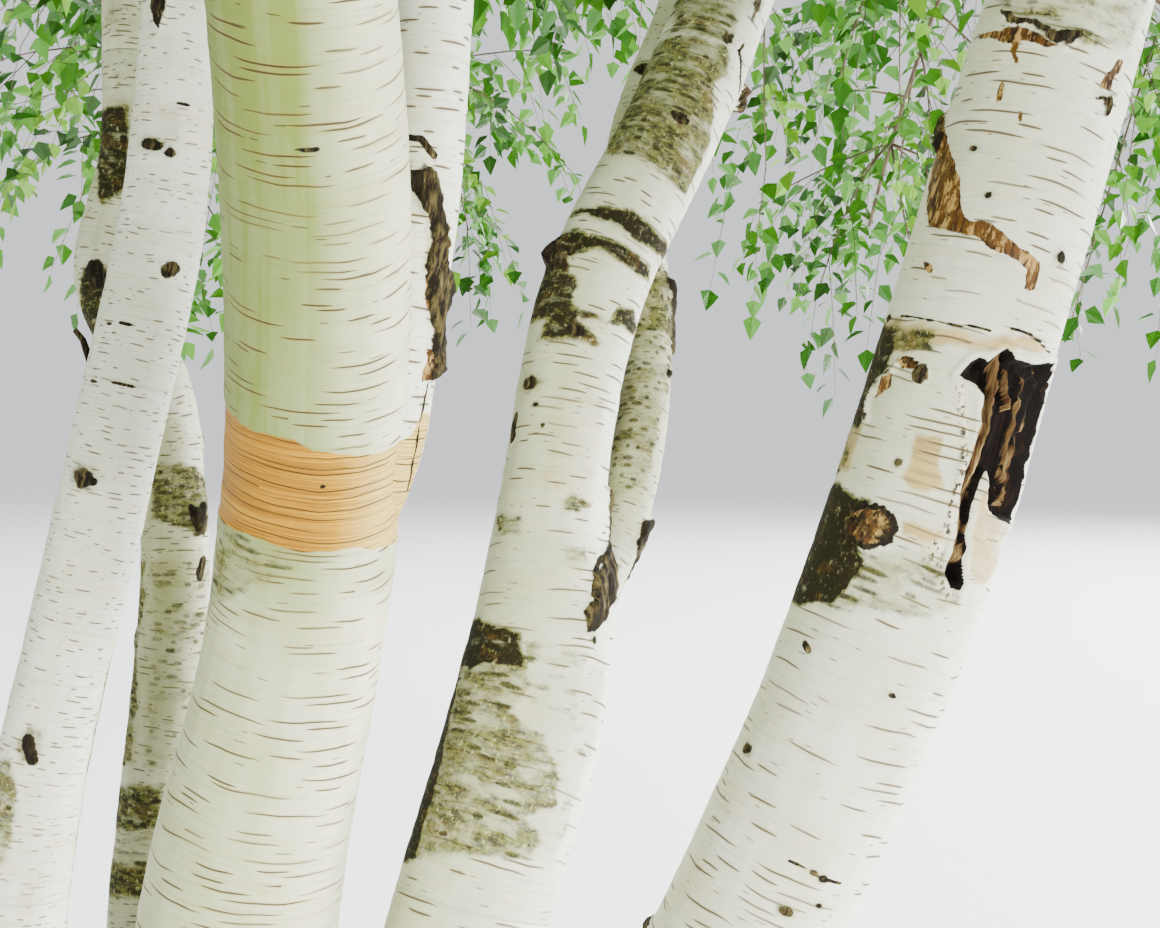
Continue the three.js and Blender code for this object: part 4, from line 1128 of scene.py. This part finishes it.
# Each stem's bark in lengths: fine where it is seen close, coarser towards the crown
stemPieces = {
    "cuts": (0.35, 0.9, 2.14), "footStep": 0.009, "crowding": 0.4,
    "upperLengths": 1.85, "upperStep": 0.026, "upperColumns": 40,
}
closeStep = {
    "front_stem": 0.004, "right_stem": 0.0034, "middle_stem": 0.004, "left_stem": 0.0044,
    "elbow_stem": 0.0044, "front_fork_stem": 0.0036, "middle_fork_stem": 0.0044,
}
stemFinish = {
    "front_stem": "long_lined", "right_stem": "lined", "middle_stem": "lined", "left_stem": "short_lined",
    "elbow_stem": "mottled", "front_fork_stem": "lined", "middle_fork_stem": "mottled",
}
for name, stations in stemStations.items():
    tip = stations[-1][2] * mm
    thick = max(s[3] for s in stations[1:]) * mm
    columns = int(2 * math.pi * thick / closeStep[name])
    footTop, closeLow, closeTop = stemPieces["cuts"]
    if name in rootedStems:
        stemBark(name, "foot", 0, footTop, stemPieces["footStep"], columns, ["root_crown"])
        stemBark(name, "low", footTop, closeLow, stemPieces["footStep"], columns, [name, "root_crown"])
    else:
        closeLow = stations[0][2] * mm
    stemBark(name, "close", closeLow, closeTop, closeStep[name], columns, [name])
    count = round((tip - closeTop) / stemPieces["upperLengths"])
    cuts = np.linspace(closeTop, tip, count + 1)
    for k in range(count):
        stemBark(name, f"upper_{k + 1}", cuts[k], cuts[k + 1], stemPieces["upperStep"],
                 stemPieces["upperColumns"], [name])

# The broken twig that stands out from the left stem: pixels from foot to tip, foot radius in mm
stub = {
    "stem": "left_stem", "pixels": [(100, 374), (91, 363), (87, 352), (83, 340), (75, 330)],
    "radius": 6.5, "taper": 0.6, "sides": 7,
}


def brokenTwig():
    eye = np.array(photoView["eye"])
    away = readStations(stub["stem"], eye[2])[0][1] - eye[1]
    line = [eye + away * pixelWay(pixel) for pixel in stub["pixels"]]
    radii = stub["radius"] * mm * np.linspace(1.0, stub["taper"], len(line))
    vertices, quads, ends = twigTubes(np.array([line]), radii[None], stub["sides"])
    piece = newPiece("broken_twig", vertices, [quads, ends], [])
    paintBark(piece, "mottled", vertices, {"rough": np.ones(len(vertices))})
    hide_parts(stub["stem"])


brokenTwig()

# The root crown that the stems share: the upper half of a rounded, cracked mound, sizes in millimetres
mound = {
    "centre": (-50, 10, 0), "radii": (340, 200, 120), "rows": 48, "columns": 220,
    "lumps": 0.1, "cracks": 0.05,
}


def rootMound():
    rise = np.linspace(0, 0.5 * math.pi, mound["rows"] + 1)[:-1, None]
    turn = np.arange(mound["columns"])[None] * 2 * math.pi / mound["columns"]
    around = np.stack([np.cos(rise) * np.cos(turn), np.cos(rise) * np.sin(turn), np.sin(rise) + 0 * turn], -1)
    cracks = 1 - 1.7 * np.abs(cloud(around * 9, 71))
    size = 1 + mound["lumps"] * cloud(around * 3, 70) + mound["cracks"] * cracks
    points = (np.array(mound["centre"]) + np.array(mound["radii"]) * around * size[..., None]) * mm
    points[0, :, 2] = 0
    vertices = np.concatenate([points.reshape(-1, 3), [np.array(mound["centre"]) * mm], [points[-1].mean(0)]])
    piece = newPiece("root_crown_bark", vertices, ringFaces(mound["rows"], mound["columns"]), [])
    patches = cloud(vertices * 12, 73)
    paintBark(piece, "mottled", vertices, {"rough": 0.9 + 0 * patches, "mossy": 0.4 + 0.6 * patches})
    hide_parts("root_crown")


rootMound()
print("stems made")

# The crown: masses of foliage in rings round the stems and on their tips, sizes in millimetres
crownAxis = {"x": 420, "xPerHeight": 0.035, "y": 90}
crownRings = [
    {"name": "low", "height": 3100, "out": 2080, "count": 7, "turn": 12, "wide": 1060, "tall": 1350,
     "jitter": 150},
    {"name": "mid", "height": 5350, "out": 2330, "count": 7, "turn": 38, "wide": 1140, "tall": 1250,
     "jitter": 200},
    {"name": "high", "height": 7350, "out": 1980, "count": 5, "turn": 70, "wide": 1120, "tall": 1250,
     "jitter": 160},
]
crownTops = {
    "front_stem": (1000, 1400, 1050), "right_stem": (1000, 1300, 950), "middle_stem": (1000, 1300, 900),
    "left_stem": (950, 1250, 850), "elbow_stem": (950, 1250, 850), "front_fork_stem": (1050, 1350, 1000),
    "middle_fork_stem": (950, 1250, 850),
}
boughRule = {
    "tipRadius": 11, "most": 34, "shareOfStem": 0.45, "lowest": 2500, "belowTip": 500, "rise": 0.6,
    "apart": 160, "detour": 350, "arch": 0.36, "setsOff": (0.75, 0.66), "arrives": (0.95, 0.31),
    "rows": 60, "columns": 22, "collar": 0.55, "collarReach": 0.05, # m
}
massEntry = {"inward": 0.85, "down": 0.25, "share": 0.62}
cellShare = 0.97
ownReach = 1.08
testBatch = 4000
boxMargin = 0.05
boxLow, boxHigh = np.array(cadBox[0]) - boxMargin, np.array(cadBox[1]) + boxMargin


def bezier(points, t):
    t = np.asarray(t, float)[:, None]
    while len(points) > 1:
        points = [a + (b - a) * t for a, b in zip(points[:-1], points[1:])]
    return points[0]


# A stem's point and radius in millimetres at one height
def stemAt(name, height):
    point, radius = readStations(name, height * mm)
    return point / mm, float(radius) / mm


def crownMasses():
    found = []
    for stem, (wide, tall, above) in crownTops.items():
        tip = stemStations[stem][-1][2]
        point, _ = stemAt(stem, tip)
        along = unit(point - stemAt(stem, tip - 5)[0])
        found.append({
            "name": f"crown_{stem}", "top": True, "centre": point + along * above, "entry": point,
            "radii": np.array((wide, wide, tall), float), "arrives": along,
            "entryRadius": stemStations[stem][-1][3]})
    for ring in crownRings:
        for k in range(ring["count"]):
            seed = ring["height"] + k
            heading = math.radians(ring["turn"]) + 2 * math.pi * k / ring["count"]
            out = ring["out"] + ring["jitter"] * (jitter(seed, 1) - 0.5) * 2
            height = ring["height"] + ring["jitter"] * (jitter(seed, 2) - 0.5) * 2
            outward = np.array((math.cos(heading), math.sin(heading), 0))
            axis = np.array((crownAxis["x"] + crownAxis["xPerHeight"] * height, crownAxis["y"], height))
            centre = axis + outward * out
            inward = unit(-outward * massEntry["inward"] - up * massEntry["down"])
            found.append({
                "name": f"{ring['name']}_mass_{k + 1}", "top": False, "centre": centre, "outward": outward,
                "entry": centre + inward * massEntry["share"] * ring["wide"],
                "radii": np.array((ring["wide"], ring["wide"], ring["tall"]), float)})
    return found


# The height on a stem from which a bough rises to the entry, and how far it has to reach
def boughStart(stem, entry):
    highest = stemStations[stem][-1][2] - boughRule["belowTip"]
    height = min(max(entry[2], boughRule["lowest"]), highest)
    for _ in range(4):
        point, _ = stemAt(stem, height)
        reach = math.hypot(entry[0] - point[0], entry[1] - point[1])
        height = min(max(entry[2] - boughRule["rise"] * reach, boughRule["lowest"]), highest)
    return {"stem": stem, "height": height, "reach": reach}


def boughOf(mass, taken):
    def crowded(start):
        return any(o["stem"] == start["stem"] and abs(o["height"] - start["height"]) < boughRule["apart"]
                   for o in taken)

    starts = [boughStart(stem, mass["entry"]) for stem in stemStations]
    start = min(starts, key=lambda s: s["reach"] + (boughRule["detour"] if crowded(s) else 0))
    while crowded(start):
        start["height"] += boughRule["apart"] / 3
    taken.append(start)
    foot, radius = stemAt(start["stem"], start["height"])
    entry = mass["entry"]
    span = np.linalg.norm(entry - foot)
    level = unit((entry - foot) * (1, 1, 0))
    setsOff, arrives = (unit(out * share[0] + up * share[1]) for out, share in (
        (level, boughRule["setsOff"]), (mass["outward"], boughRule["arrives"])))
    arch = span * boughRule["arch"]
    mass["arrives"] = arrives
    mass["entryRadius"] = boughRule["tipRadius"]
    return {"bends": [foot, foot + setsOff * arch, entry - arrives * arch, entry], "stemRadius": radius,
            "radii": (min(boughRule["most"], radius * boughRule["shareOfStem"]), boughRule["tipRadius"])}


# A bough's bark: a tapering tube with a collar where it leaves the stem
def boughBark(mass, found):
    t = np.linspace(0, 1, boughRule["rows"])
    points = bezier(found["bends"], t) * mm
    radius = (found["radii"][0] + (found["radii"][1] - found["radii"][0]) * t) * mm
    length = lengthAlong(points)
    outside = np.maximum(length - found["stemRadius"] * mm, 0)
    radius = radius * (1 + boughRule["collar"] * np.exp(-outside / boughRule["collarReach"]))
    _, across, over = ringFrames(points)
    turn = np.arange(boughRule["columns"]) * 2 * math.pi / boughRule["columns"]
    place = np.stack([radius[:, None] * np.cos(turn), radius[:, None] * np.sin(turn),
                      length[:, None] + 0 * turn], -1)
    seed = int(abs(mass["centre"][0]))
    size = radius[:, None] * (1 + 0.07 * cloud(place * np.array((30.0, 30.0, 12.0)), seed))
    size = size + 0.8 * mm * cloud(place * np.array((9.0, 9.0, 70.0)), seed + 1)
    name = mass["name"].replace("mass", "bough")
    piece = barkTube(name + "_bark", "bough_bark", points, size, spokes(across, over, turn), place, {})
    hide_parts(name)


# Points spread evenly over a mass's rounded space, at a share of its radii
def targets(mass, count, share, seed):
    k = np.arange(count)
    z = 1 - (2 * k + 1) / count
    level = np.sqrt(1 - z * z)
    turn = jitter(seed, 3) * 2 * math.pi + k * goldenAngle
    around = np.stack([level * np.cos(turn), level * np.sin(turn), z], -1)
    return around * share * mass["radii"] + mass["centre"]


# Side twigs along each bough, and along each leader below its top mass, sizes in millimetres
sideRule = {"count": 16, "from": 0.3, "length": (320, 760), "rise": 0.32, "fall": 0.3, "leader": 2300,
            "radii": (3.4, 1.6), "bend": 0.08, "shareOfLimb": 0.6}
twigRule = {
    "startBack": 12, "topFar": 0.62, "sideFar": (0.5, 0.12), "axisBend": 0.45, "axisTip": 9,
    "first": 6, "reach": 0.72, "radii": (6.0, 5.0), "lift": 0.14, "tests": 14, "shortest": 0.4,
    "footBack": 0.3, "footRange": (0.12, 0.93), "limbGap": 60,
    "secondOuter": 56, "secondInner": 22, "outerShare": 0.84, "innerShare": 0.5, "secondSpread": 45,
    "secondRadii": (4.2, 1.8), "secondBack": 0.22, "secondLift": 0.16, "secondBend": 0.05,
    "secondShortest": 60, "shareOfFirst": 0.8,
}
# Thin shoots that hang from the twigs, with their leaves to either side, sizes in metres but for the radii
shootRule = {
    "perTwig": 6, "from": 0.3, "length": (0.2, 0.46), "droop": 0.55, "flatten": 0.4, "radii": (1.5, 0.7),
    "along": 0.8, "aside": 0.7, "spread": 0.2, "limbGap": 0.02,
}
leafRule = {
    "perShoot": 11, "length": (0.046, 0.072), "along": 0.45, "aside": 0.9, "down": 0.35, "spread": 0.28,
    "sideSpread": 0.15, "roll": 0.45, "tipAside": 0.1, "stalk": 0.22, "test": 0.6,
}
# Leaf colours, and the share of the shoots that each one takes
leafColours = {"#417f10": 0.34, "#55931a": 0.26, "#306a10": 0.18, "#74a826": 0.12, "#27520f": 0.1}
leafGreens = [newMaterial(f"leaf_green_{k + 1}", {
    "Base Color": linear(code), "Roughness": 0.42, "Specular IOR Level": 0.35})
    for k, code in enumerate(leafColours)]


def twigMaterial():
    material = newMaterial("twig_bark", {"Roughness": 0.6})
    tree = material.node_tree
    place = addNode(tree, "ShaderNodeTexCoord", {})["Object"]
    tone = remap(tree, noiseValue(tree, place, 14.0), 0.4, 0.62)
    fillInputs(tree, tree.nodes["Principled BSDF"], {
        "Base Color": blendColour(tree, tone, linear("#5d4636"), linear("#86705a"))})
    return material


twigBrown = twigMaterial()

# A leaf's own outline: along, across and up, in shares of its length; a stalk, then a pointed oval
plainLeaf = {
    "points": [(-0.22, 0.012, 0.0), (-0.22, -0.012, 0.0), (0, 0, 0), (0.26, 0.36, 0.07), (0.6, 0.22, 0.05),
               (1.0, 0, -0.06), (0.6, -0.22, 0.05), (0.26, -0.36, 0.07)],
    "faces": [(0, 1, 2), (2, 5, 4), (2, 4, 3), (2, 6, 5), (2, 7, 6)],
}


# Joined copies of one leaf: vertices are roots + length * (along x + side y + face z)
def leafMesh(shape, roots, along, side, sizes):
    face = np.cross(along, side)
    outline = np.array(shape["points"], float)
    basis = np.stack([along, side, face], 1)
    vertices = roots[:, None] + sizes[:, None, None] * np.einsum("pk,nkj->npj", outline, basis)
    shift = np.arange(len(roots)) * len(outline)
    faces = np.array(shape["faces"])[None] + shift[:, None, None]
    return vertices.reshape(-1, 3), faces.reshape(-1, 3)


masses = crownMasses()
fine = np.linspace(0, 1, 21) # the steps along a limb, an axis or a first twig
coarse = 7 # the points of a side twig or a second twig


# The stems and boughs that the twigs keep clear of, in metres. Each mass keeps its own limb in millimetres.
def makeLimbs():
    limbs = [readStations(name, np.linspace(stations[0][2], stations[-1][2], 91) * mm)
             for name, stations in stemStations.items()]
    taken = []
    for mass in masses:
        if mass["top"]:
            tip = mass["entry"][2]
            points, radii = readStations(mass["name"].removeprefix("crown_"),
                                         np.linspace(tip - sideRule["leader"], tip - 1, len(fine)) * mm)
            mass["limb"] = (points / mm, radii / mm)
        else:
            found = boughOf(mass, taken)
            boughBark(mass, found)
            thick, thin = found["radii"]
            mass["limb"] = (bezier(found["bends"], fine), thick + (thin - thick) * fine)
            limbs.append((mass["limb"][0] * mm, mass["limb"][1] * mm))
    return [np.concatenate(parts) for parts in zip(*limbs)]


limbPoints, limbRadii = makeLimbs()


# Whether points in metres are in the box, clear of the limbs and, if asked, in a mass's own space
def freeOf(mass, gap, ownSpace=True):
    mine = next(i for i, m in enumerate(masses) if m is mass)

    def test(points):
        flat = points.reshape(-1, 3)
        shares = np.stack([np.linalg.norm((flat / mm - m["centre"]) / m["radii"], axis=1) for m in masses])
        own = shares[mine].copy()
        shares[mine] = np.inf
        clear = ((flat > boxLow) & (flat < boxHigh)).all(1)
        if ownSpace:
            clear &= (own < ownReach) & (own < shares.min(0) * cellShare)
        low, high = flat.min(0), flat.max(0)
        near = np.linalg.norm(limbPoints - (low + high) / 2, axis=1) < np.linalg.norm(high - low) / 2 + 0.2
        spots, radii = limbPoints[near], limbRadii[near]
        for start in range(0, len(flat), testBatch):
            some = flat[start:start + testBatch]
            if len(spots):
                away = np.linalg.norm(some[:, None] - spots, axis=2) - radii
                clear[start:start + testBatch] &= away.min(1) > gap
        return clear.reshape(points.shape[:-1])

    return test


# Twigs that leave a limb on all sides in turn, in millimetres: line, first radius, last radius
def sideTwigs(limb, draw):
    points, radii = limb
    found = []
    for k in range(sideRule["count"]):
        share = sideRule["from"] + (1 - sideRule["from"]) * (k + draw.random()) / sideRule["count"]
        at = share * (len(points) - 1)
        row = min(int(at), len(points) - 2)
        foot = points[row] + (points[row + 1] - points[row]) * (at - row)
        turn = k * goldenAngle + draw.uniform(-0.3, 0.3)
        heading = unit(np.array((math.cos(turn), math.sin(turn), sideRule["rise"])))
        length = draw.uniform(*sideRule["length"])
        s = np.linspace(0, 1, coarse)[:, None]
        bend = draw.normal(0, sideRule["bend"] * length, 3)
        line = foot + heading * length * s - up * length * sideRule["fall"] * s**2 + bend * s * (1 - s) * 4
        thick = min(sideRule["radii"][0], radii[row] * sideRule["shareOfLimb"])
        found.append((line, thick, sideRule["radii"][1]))
    return found


# A mass's axis and the twigs from it towards points all round, in the same form
def firstTwigs(mass, index):
    free = freeOf(mass, twigRule["limbGap"] * mm)
    centre, radii = mass["centre"], mass["radii"]
    start = mass["entry"] - mass["arrives"] * twigRule["startBack"]
    out, down = twigRule["sideFar"]
    far = centre + up * radii[2] * twigRule["topFar"] if mass["top"] else (
        centre + mass["outward"] * radii[0] * out - up * radii[2] * down)
    axisBends = [start, start + mass["arrives"] * np.linalg.norm(far - start) * twigRule["axisBend"], far]
    axis = bezier(axisBends, fine)
    lines = [(axis, mass["entryRadius"], twigRule["axisTip"])]
    for end in targets(mass, twigRule["first"], twigRule["reach"], index):
        nearest = fine[np.argmin(np.linalg.norm(axis - end, axis=1))]
        low, high = twigRule["footRange"]
        foot = bezier(axisBends, [min(max(nearest - twigRule["footBack"], low), high)])[0]
        bends = [foot, (foot + end) / 2 + up * np.linalg.norm(end - foot) * twigRule["lift"], end]
        tests = (np.arange(twigRule["tests"]) + 1) / twigRule["tests"]
        blocked = np.flatnonzero(~free(bezier(bends, tests) * mm))
        reach = blocked[0] / twigRule["tests"] if len(blocked) else 1.0
        if reach >= twigRule["shortest"]:
            lines.append((bezier(bends, fine * reach), *twigRule["radii"]))
    return lines


# Finer twigs that spring from the nearest twig, a little before the place nearest to their end
def secondTwigs(mass, index, firsts, draw):
    free = freeOf(mass, twigRule["limbGap"] * mm)
    points = np.concatenate([line for line, _, _ in firsts])
    radii = np.concatenate([a + (b - a) * fine for _, a, b in firsts])
    found = []
    for end in np.concatenate([targets(mass, twigRule["secondOuter"], twigRule["outerShare"], index + 60),
                               targets(mass, twigRule["secondInner"], twigRule["innerShare"], index + 90)]):
        end = end + draw.normal(0, twigRule["secondSpread"], 3)
        nearest = np.argmin(np.linalg.norm(points - end, axis=1))
        row = nearest % len(fine)
        foot = points[nearest - min(row, round(twigRule["secondBack"] * len(fine)))]
        length = np.linalg.norm(end - foot)
        if length < twigRule["secondShortest"]:
            continue
        middle = (foot + end) / 2 + up * length * twigRule["secondLift"]
        bends = [foot, middle + draw.normal(0, twigRule["secondBend"] * length, 3), end]
        line = bezier(bends, np.linspace(0, 1, coarse))
        inside = free(line * mm)
        if not inside[2:].all():
            stop = np.flatnonzero(~inside[1:])[0]
            if stop < 3:
                continue
            line = bezier(bends, np.linspace(0, stop / (coarse - 1), coarse))
        thick = min(twigRule["secondRadii"][0], radii[nearest] * twigRule["shareOfFirst"])
        found.append((line, thick, twigRule["secondRadii"][1]))
    return found


# Signs for things to either side in turn, with a value of its own for the last one
def sidesInTurn(count, last):
    return np.where(np.arange(count) == count - 1, last, np.where(np.arange(count) % 2, 1.0, -1.0))


# Shoots of 3 points that leave the twigs to either side and hang. Those on the last twigs may leave the
# mass's own space.
def hangingShoots(mass, lines, ownTwigs, draw):
    count, per = len(lines), shootRule["perTwig"]
    at = np.linspace(shootRule["from"], 1.0, per)[None] + draw.uniform(-0.05, 0.0, (count, per))
    rowAt = at * (coarse - 1)
    low = np.clip(rowAt.astype(int), 0, coarse - 2)
    part = (rowAt - low)[..., None]
    pick = np.arange(count)[:, None]
    roots = lines[pick, low] * (1 - part) + lines[pick, low + 1] * part
    tangent = unit(lines[pick, low + 1] - lines[pick, low])
    side = unit(np.cross(tangent, up))
    sign = sidesInTurn(per, 0.0)[None, :, None]
    heading = unit(tangent * shootRule["along"] + side * sign * shootRule["aside"]
                   + draw.normal(0, shootRule["spread"], (count, per, 3)))
    reach = draw.uniform(*shootRule["length"], (count, per))[..., None, None]
    t = np.linspace(0, 1, 3)[None, None, :, None]
    shoots = roots[:, :, None] + heading[:, :, None] * reach * t * (1 - shootRule["flatten"] * t) - (
        up * reach * t * t * shootRule["droop"])
    shoots = shoots.reshape(-1, 3, 3)
    inside = freeOf(mass, shootRule["limbGap"])(shoots)[:, 1:].all(1)
    inside[ownTwigs * per:] = True
    return shoots[inside & freeOf(mass, shootRule["limbGap"], ownSpace=False)(shoots)[:, 1:].all(1)]


# Leaves along each shoot, to either side in turn, with the last one at the tip. Gives their number.
def shootLeaves(mass, shoots, draw):
    per = leafRule["perShoot"]
    at = (np.arange(per) + 1) / per * 2
    low = np.minimum(at.astype(int), 1)
    part = (at - low)[None, :, None]
    places = shoots[:, low] * (1 - part) + shoots[:, low + 1] * part
    tangent = unit(shoots[:, low + 1] - shoots[:, low])
    side = unit(np.cross(tangent, up) + draw.normal(0, leafRule["sideSpread"], tangent.shape))
    sign = sidesInTurn(per, leafRule["tipAside"])[None, :, None]
    along = unit(tangent * leafRule["along"] + side * sign * leafRule["aside"] - up * leafRule["down"]
                 + draw.normal(0, leafRule["spread"], tangent.shape))
    flat = unit(np.cross(np.cross(along, up + draw.normal(0, leafRule["roll"], along.shape)), along))
    across = np.cross(flat, along)
    sizes = draw.uniform(*leafRule["length"], places.shape[:2])
    places = places + along * sizes[..., None] * leafRule["stalk"]
    spray = draw.choice(len(leafGreens), len(shoots), p=tuple(leafColours.values()))
    tested = places + along * sizes[..., None] * leafRule["test"]
    keep = freeOf(mass, shootRule["limbGap"], ownSpace=False)(tested)
    vertices, faces = leafMesh(plainLeaf, places[keep], along[keep], across[keep], sizes[keep])
    colours = np.repeat(np.repeat(spray[:, None], per, 1)[keep], len(plainLeaf["faces"]))
    piece = newPiece(f"leaves_{mass['name']}", vertices, [faces], leafGreens, False, colours)
    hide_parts(mass["name"])
    return int(keep.sum())


def massFoliage(mass, index):
    draw = np.random.default_rng(500 + index)
    firsts = firstTwigs(mass, index)
    seconds = secondTwigs(mass, index, firsts, draw)
    ownTwigs = len(seconds)
    clearOf = freeOf(mass, twigRule["limbGap"] * mm, ownSpace=False)
    seconds += [twig for twig in sideTwigs(mass["limb"], draw) if clearOf(twig[0] * mm)[3:].all()]
    secondLines = np.array([line for line, _, _ in seconds]) * mm
    shoots = hangingShoots(mass, secondLines, ownTwigs, draw)
    count = shootLeaves(mass, shoots, draw)
    tubes = [
        twigTubes(np.array([line for line, _, _ in firsts]) * mm,
                  np.array([a + (b - a) * fine for _, a, b in firsts]) * mm, 5),
        twigTubes(secondLines, np.array([np.linspace(a, b, coarse) for _, a, b in seconds]) * mm, 3),
        twigTubes(shoots, np.tile(np.linspace(*shootRule["radii"], 3) * mm, (len(shoots), 1)), 3),
    ]
    vertices, faceLists = [], []
    for points, quads, ends in tubes:
        first = sum(len(v) for v in vertices)
        vertices.append(points)
        faceLists += [quads + first, ends + first]
    twigs = newPiece(f"twigs_{mass['name']}", np.concatenate(vertices), faceLists, [twigBrown])
    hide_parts(mass["name"])
    return count


print("crown made with", sum(massFoliage(mass, k) for k, mass in enumerate(masses)), "leaves")

# Floor and studio light
stage = {"floor": 600.0, "floorColour": "#ffffff", "worldColour": (0.95, 0.97, 1.0, 1.0), "world": 1.05}
floorMesh = bpy.data.meshes.new("floor")
half = stage["floor"] / 2
corners = [(-half, -half, 0), (half, -half, 0), (half, half, 0), (-half, half, 0)]
floorMesh.from_pydata(corners, [], [(0, 1, 2, 3)])
floorMesh.materials.append(newMaterial("floor", {
    "Base Color": linear(stage["floorColour"]), "Roughness": 0.9}))
floor = bpy.data.objects.new("floor", floorMesh)
bpy.context.scene.collection.objects.link(floor)
world = bpy.data.worlds.new("studio")
world.use_nodes = True
fillInputs(world.node_tree, world.node_tree.nodes["Background"], {
    "Color": stage["worldColour"], "Strength": stage["world"]})
bpy.context.scene.world = world


# A square lamp, size in metres and power in watts, turned to face its target
def softLight(name, place, target, size, power):
    data = bpy.data.lights.new(name, "AREA")
    data.size = size
    data.energy = power
    light = bpy.data.objects.new(name, data)
    light.location = place
    way = unit(np.array(target) - np.array(place))
    light.rotation_euler = (math.acos(-way[2]), 0, math.atan2(way[0], -way[1]) + math.pi)
    bpy.context.scene.collection.objects.link(light)


softLight("key_light", (16.0, -21.8, 13.5), (0.4, 0.0, 2.0), 9.0, 25500)
softLight("fill_light", (-14.0, -14.0, 6.0), (0.3, 0.0, 2.5), 12.0, 800)
softLight("rim_light", (26.4, 12.0, 15.0), (0.3, 0.0, 3.0), 15.0, 50000)
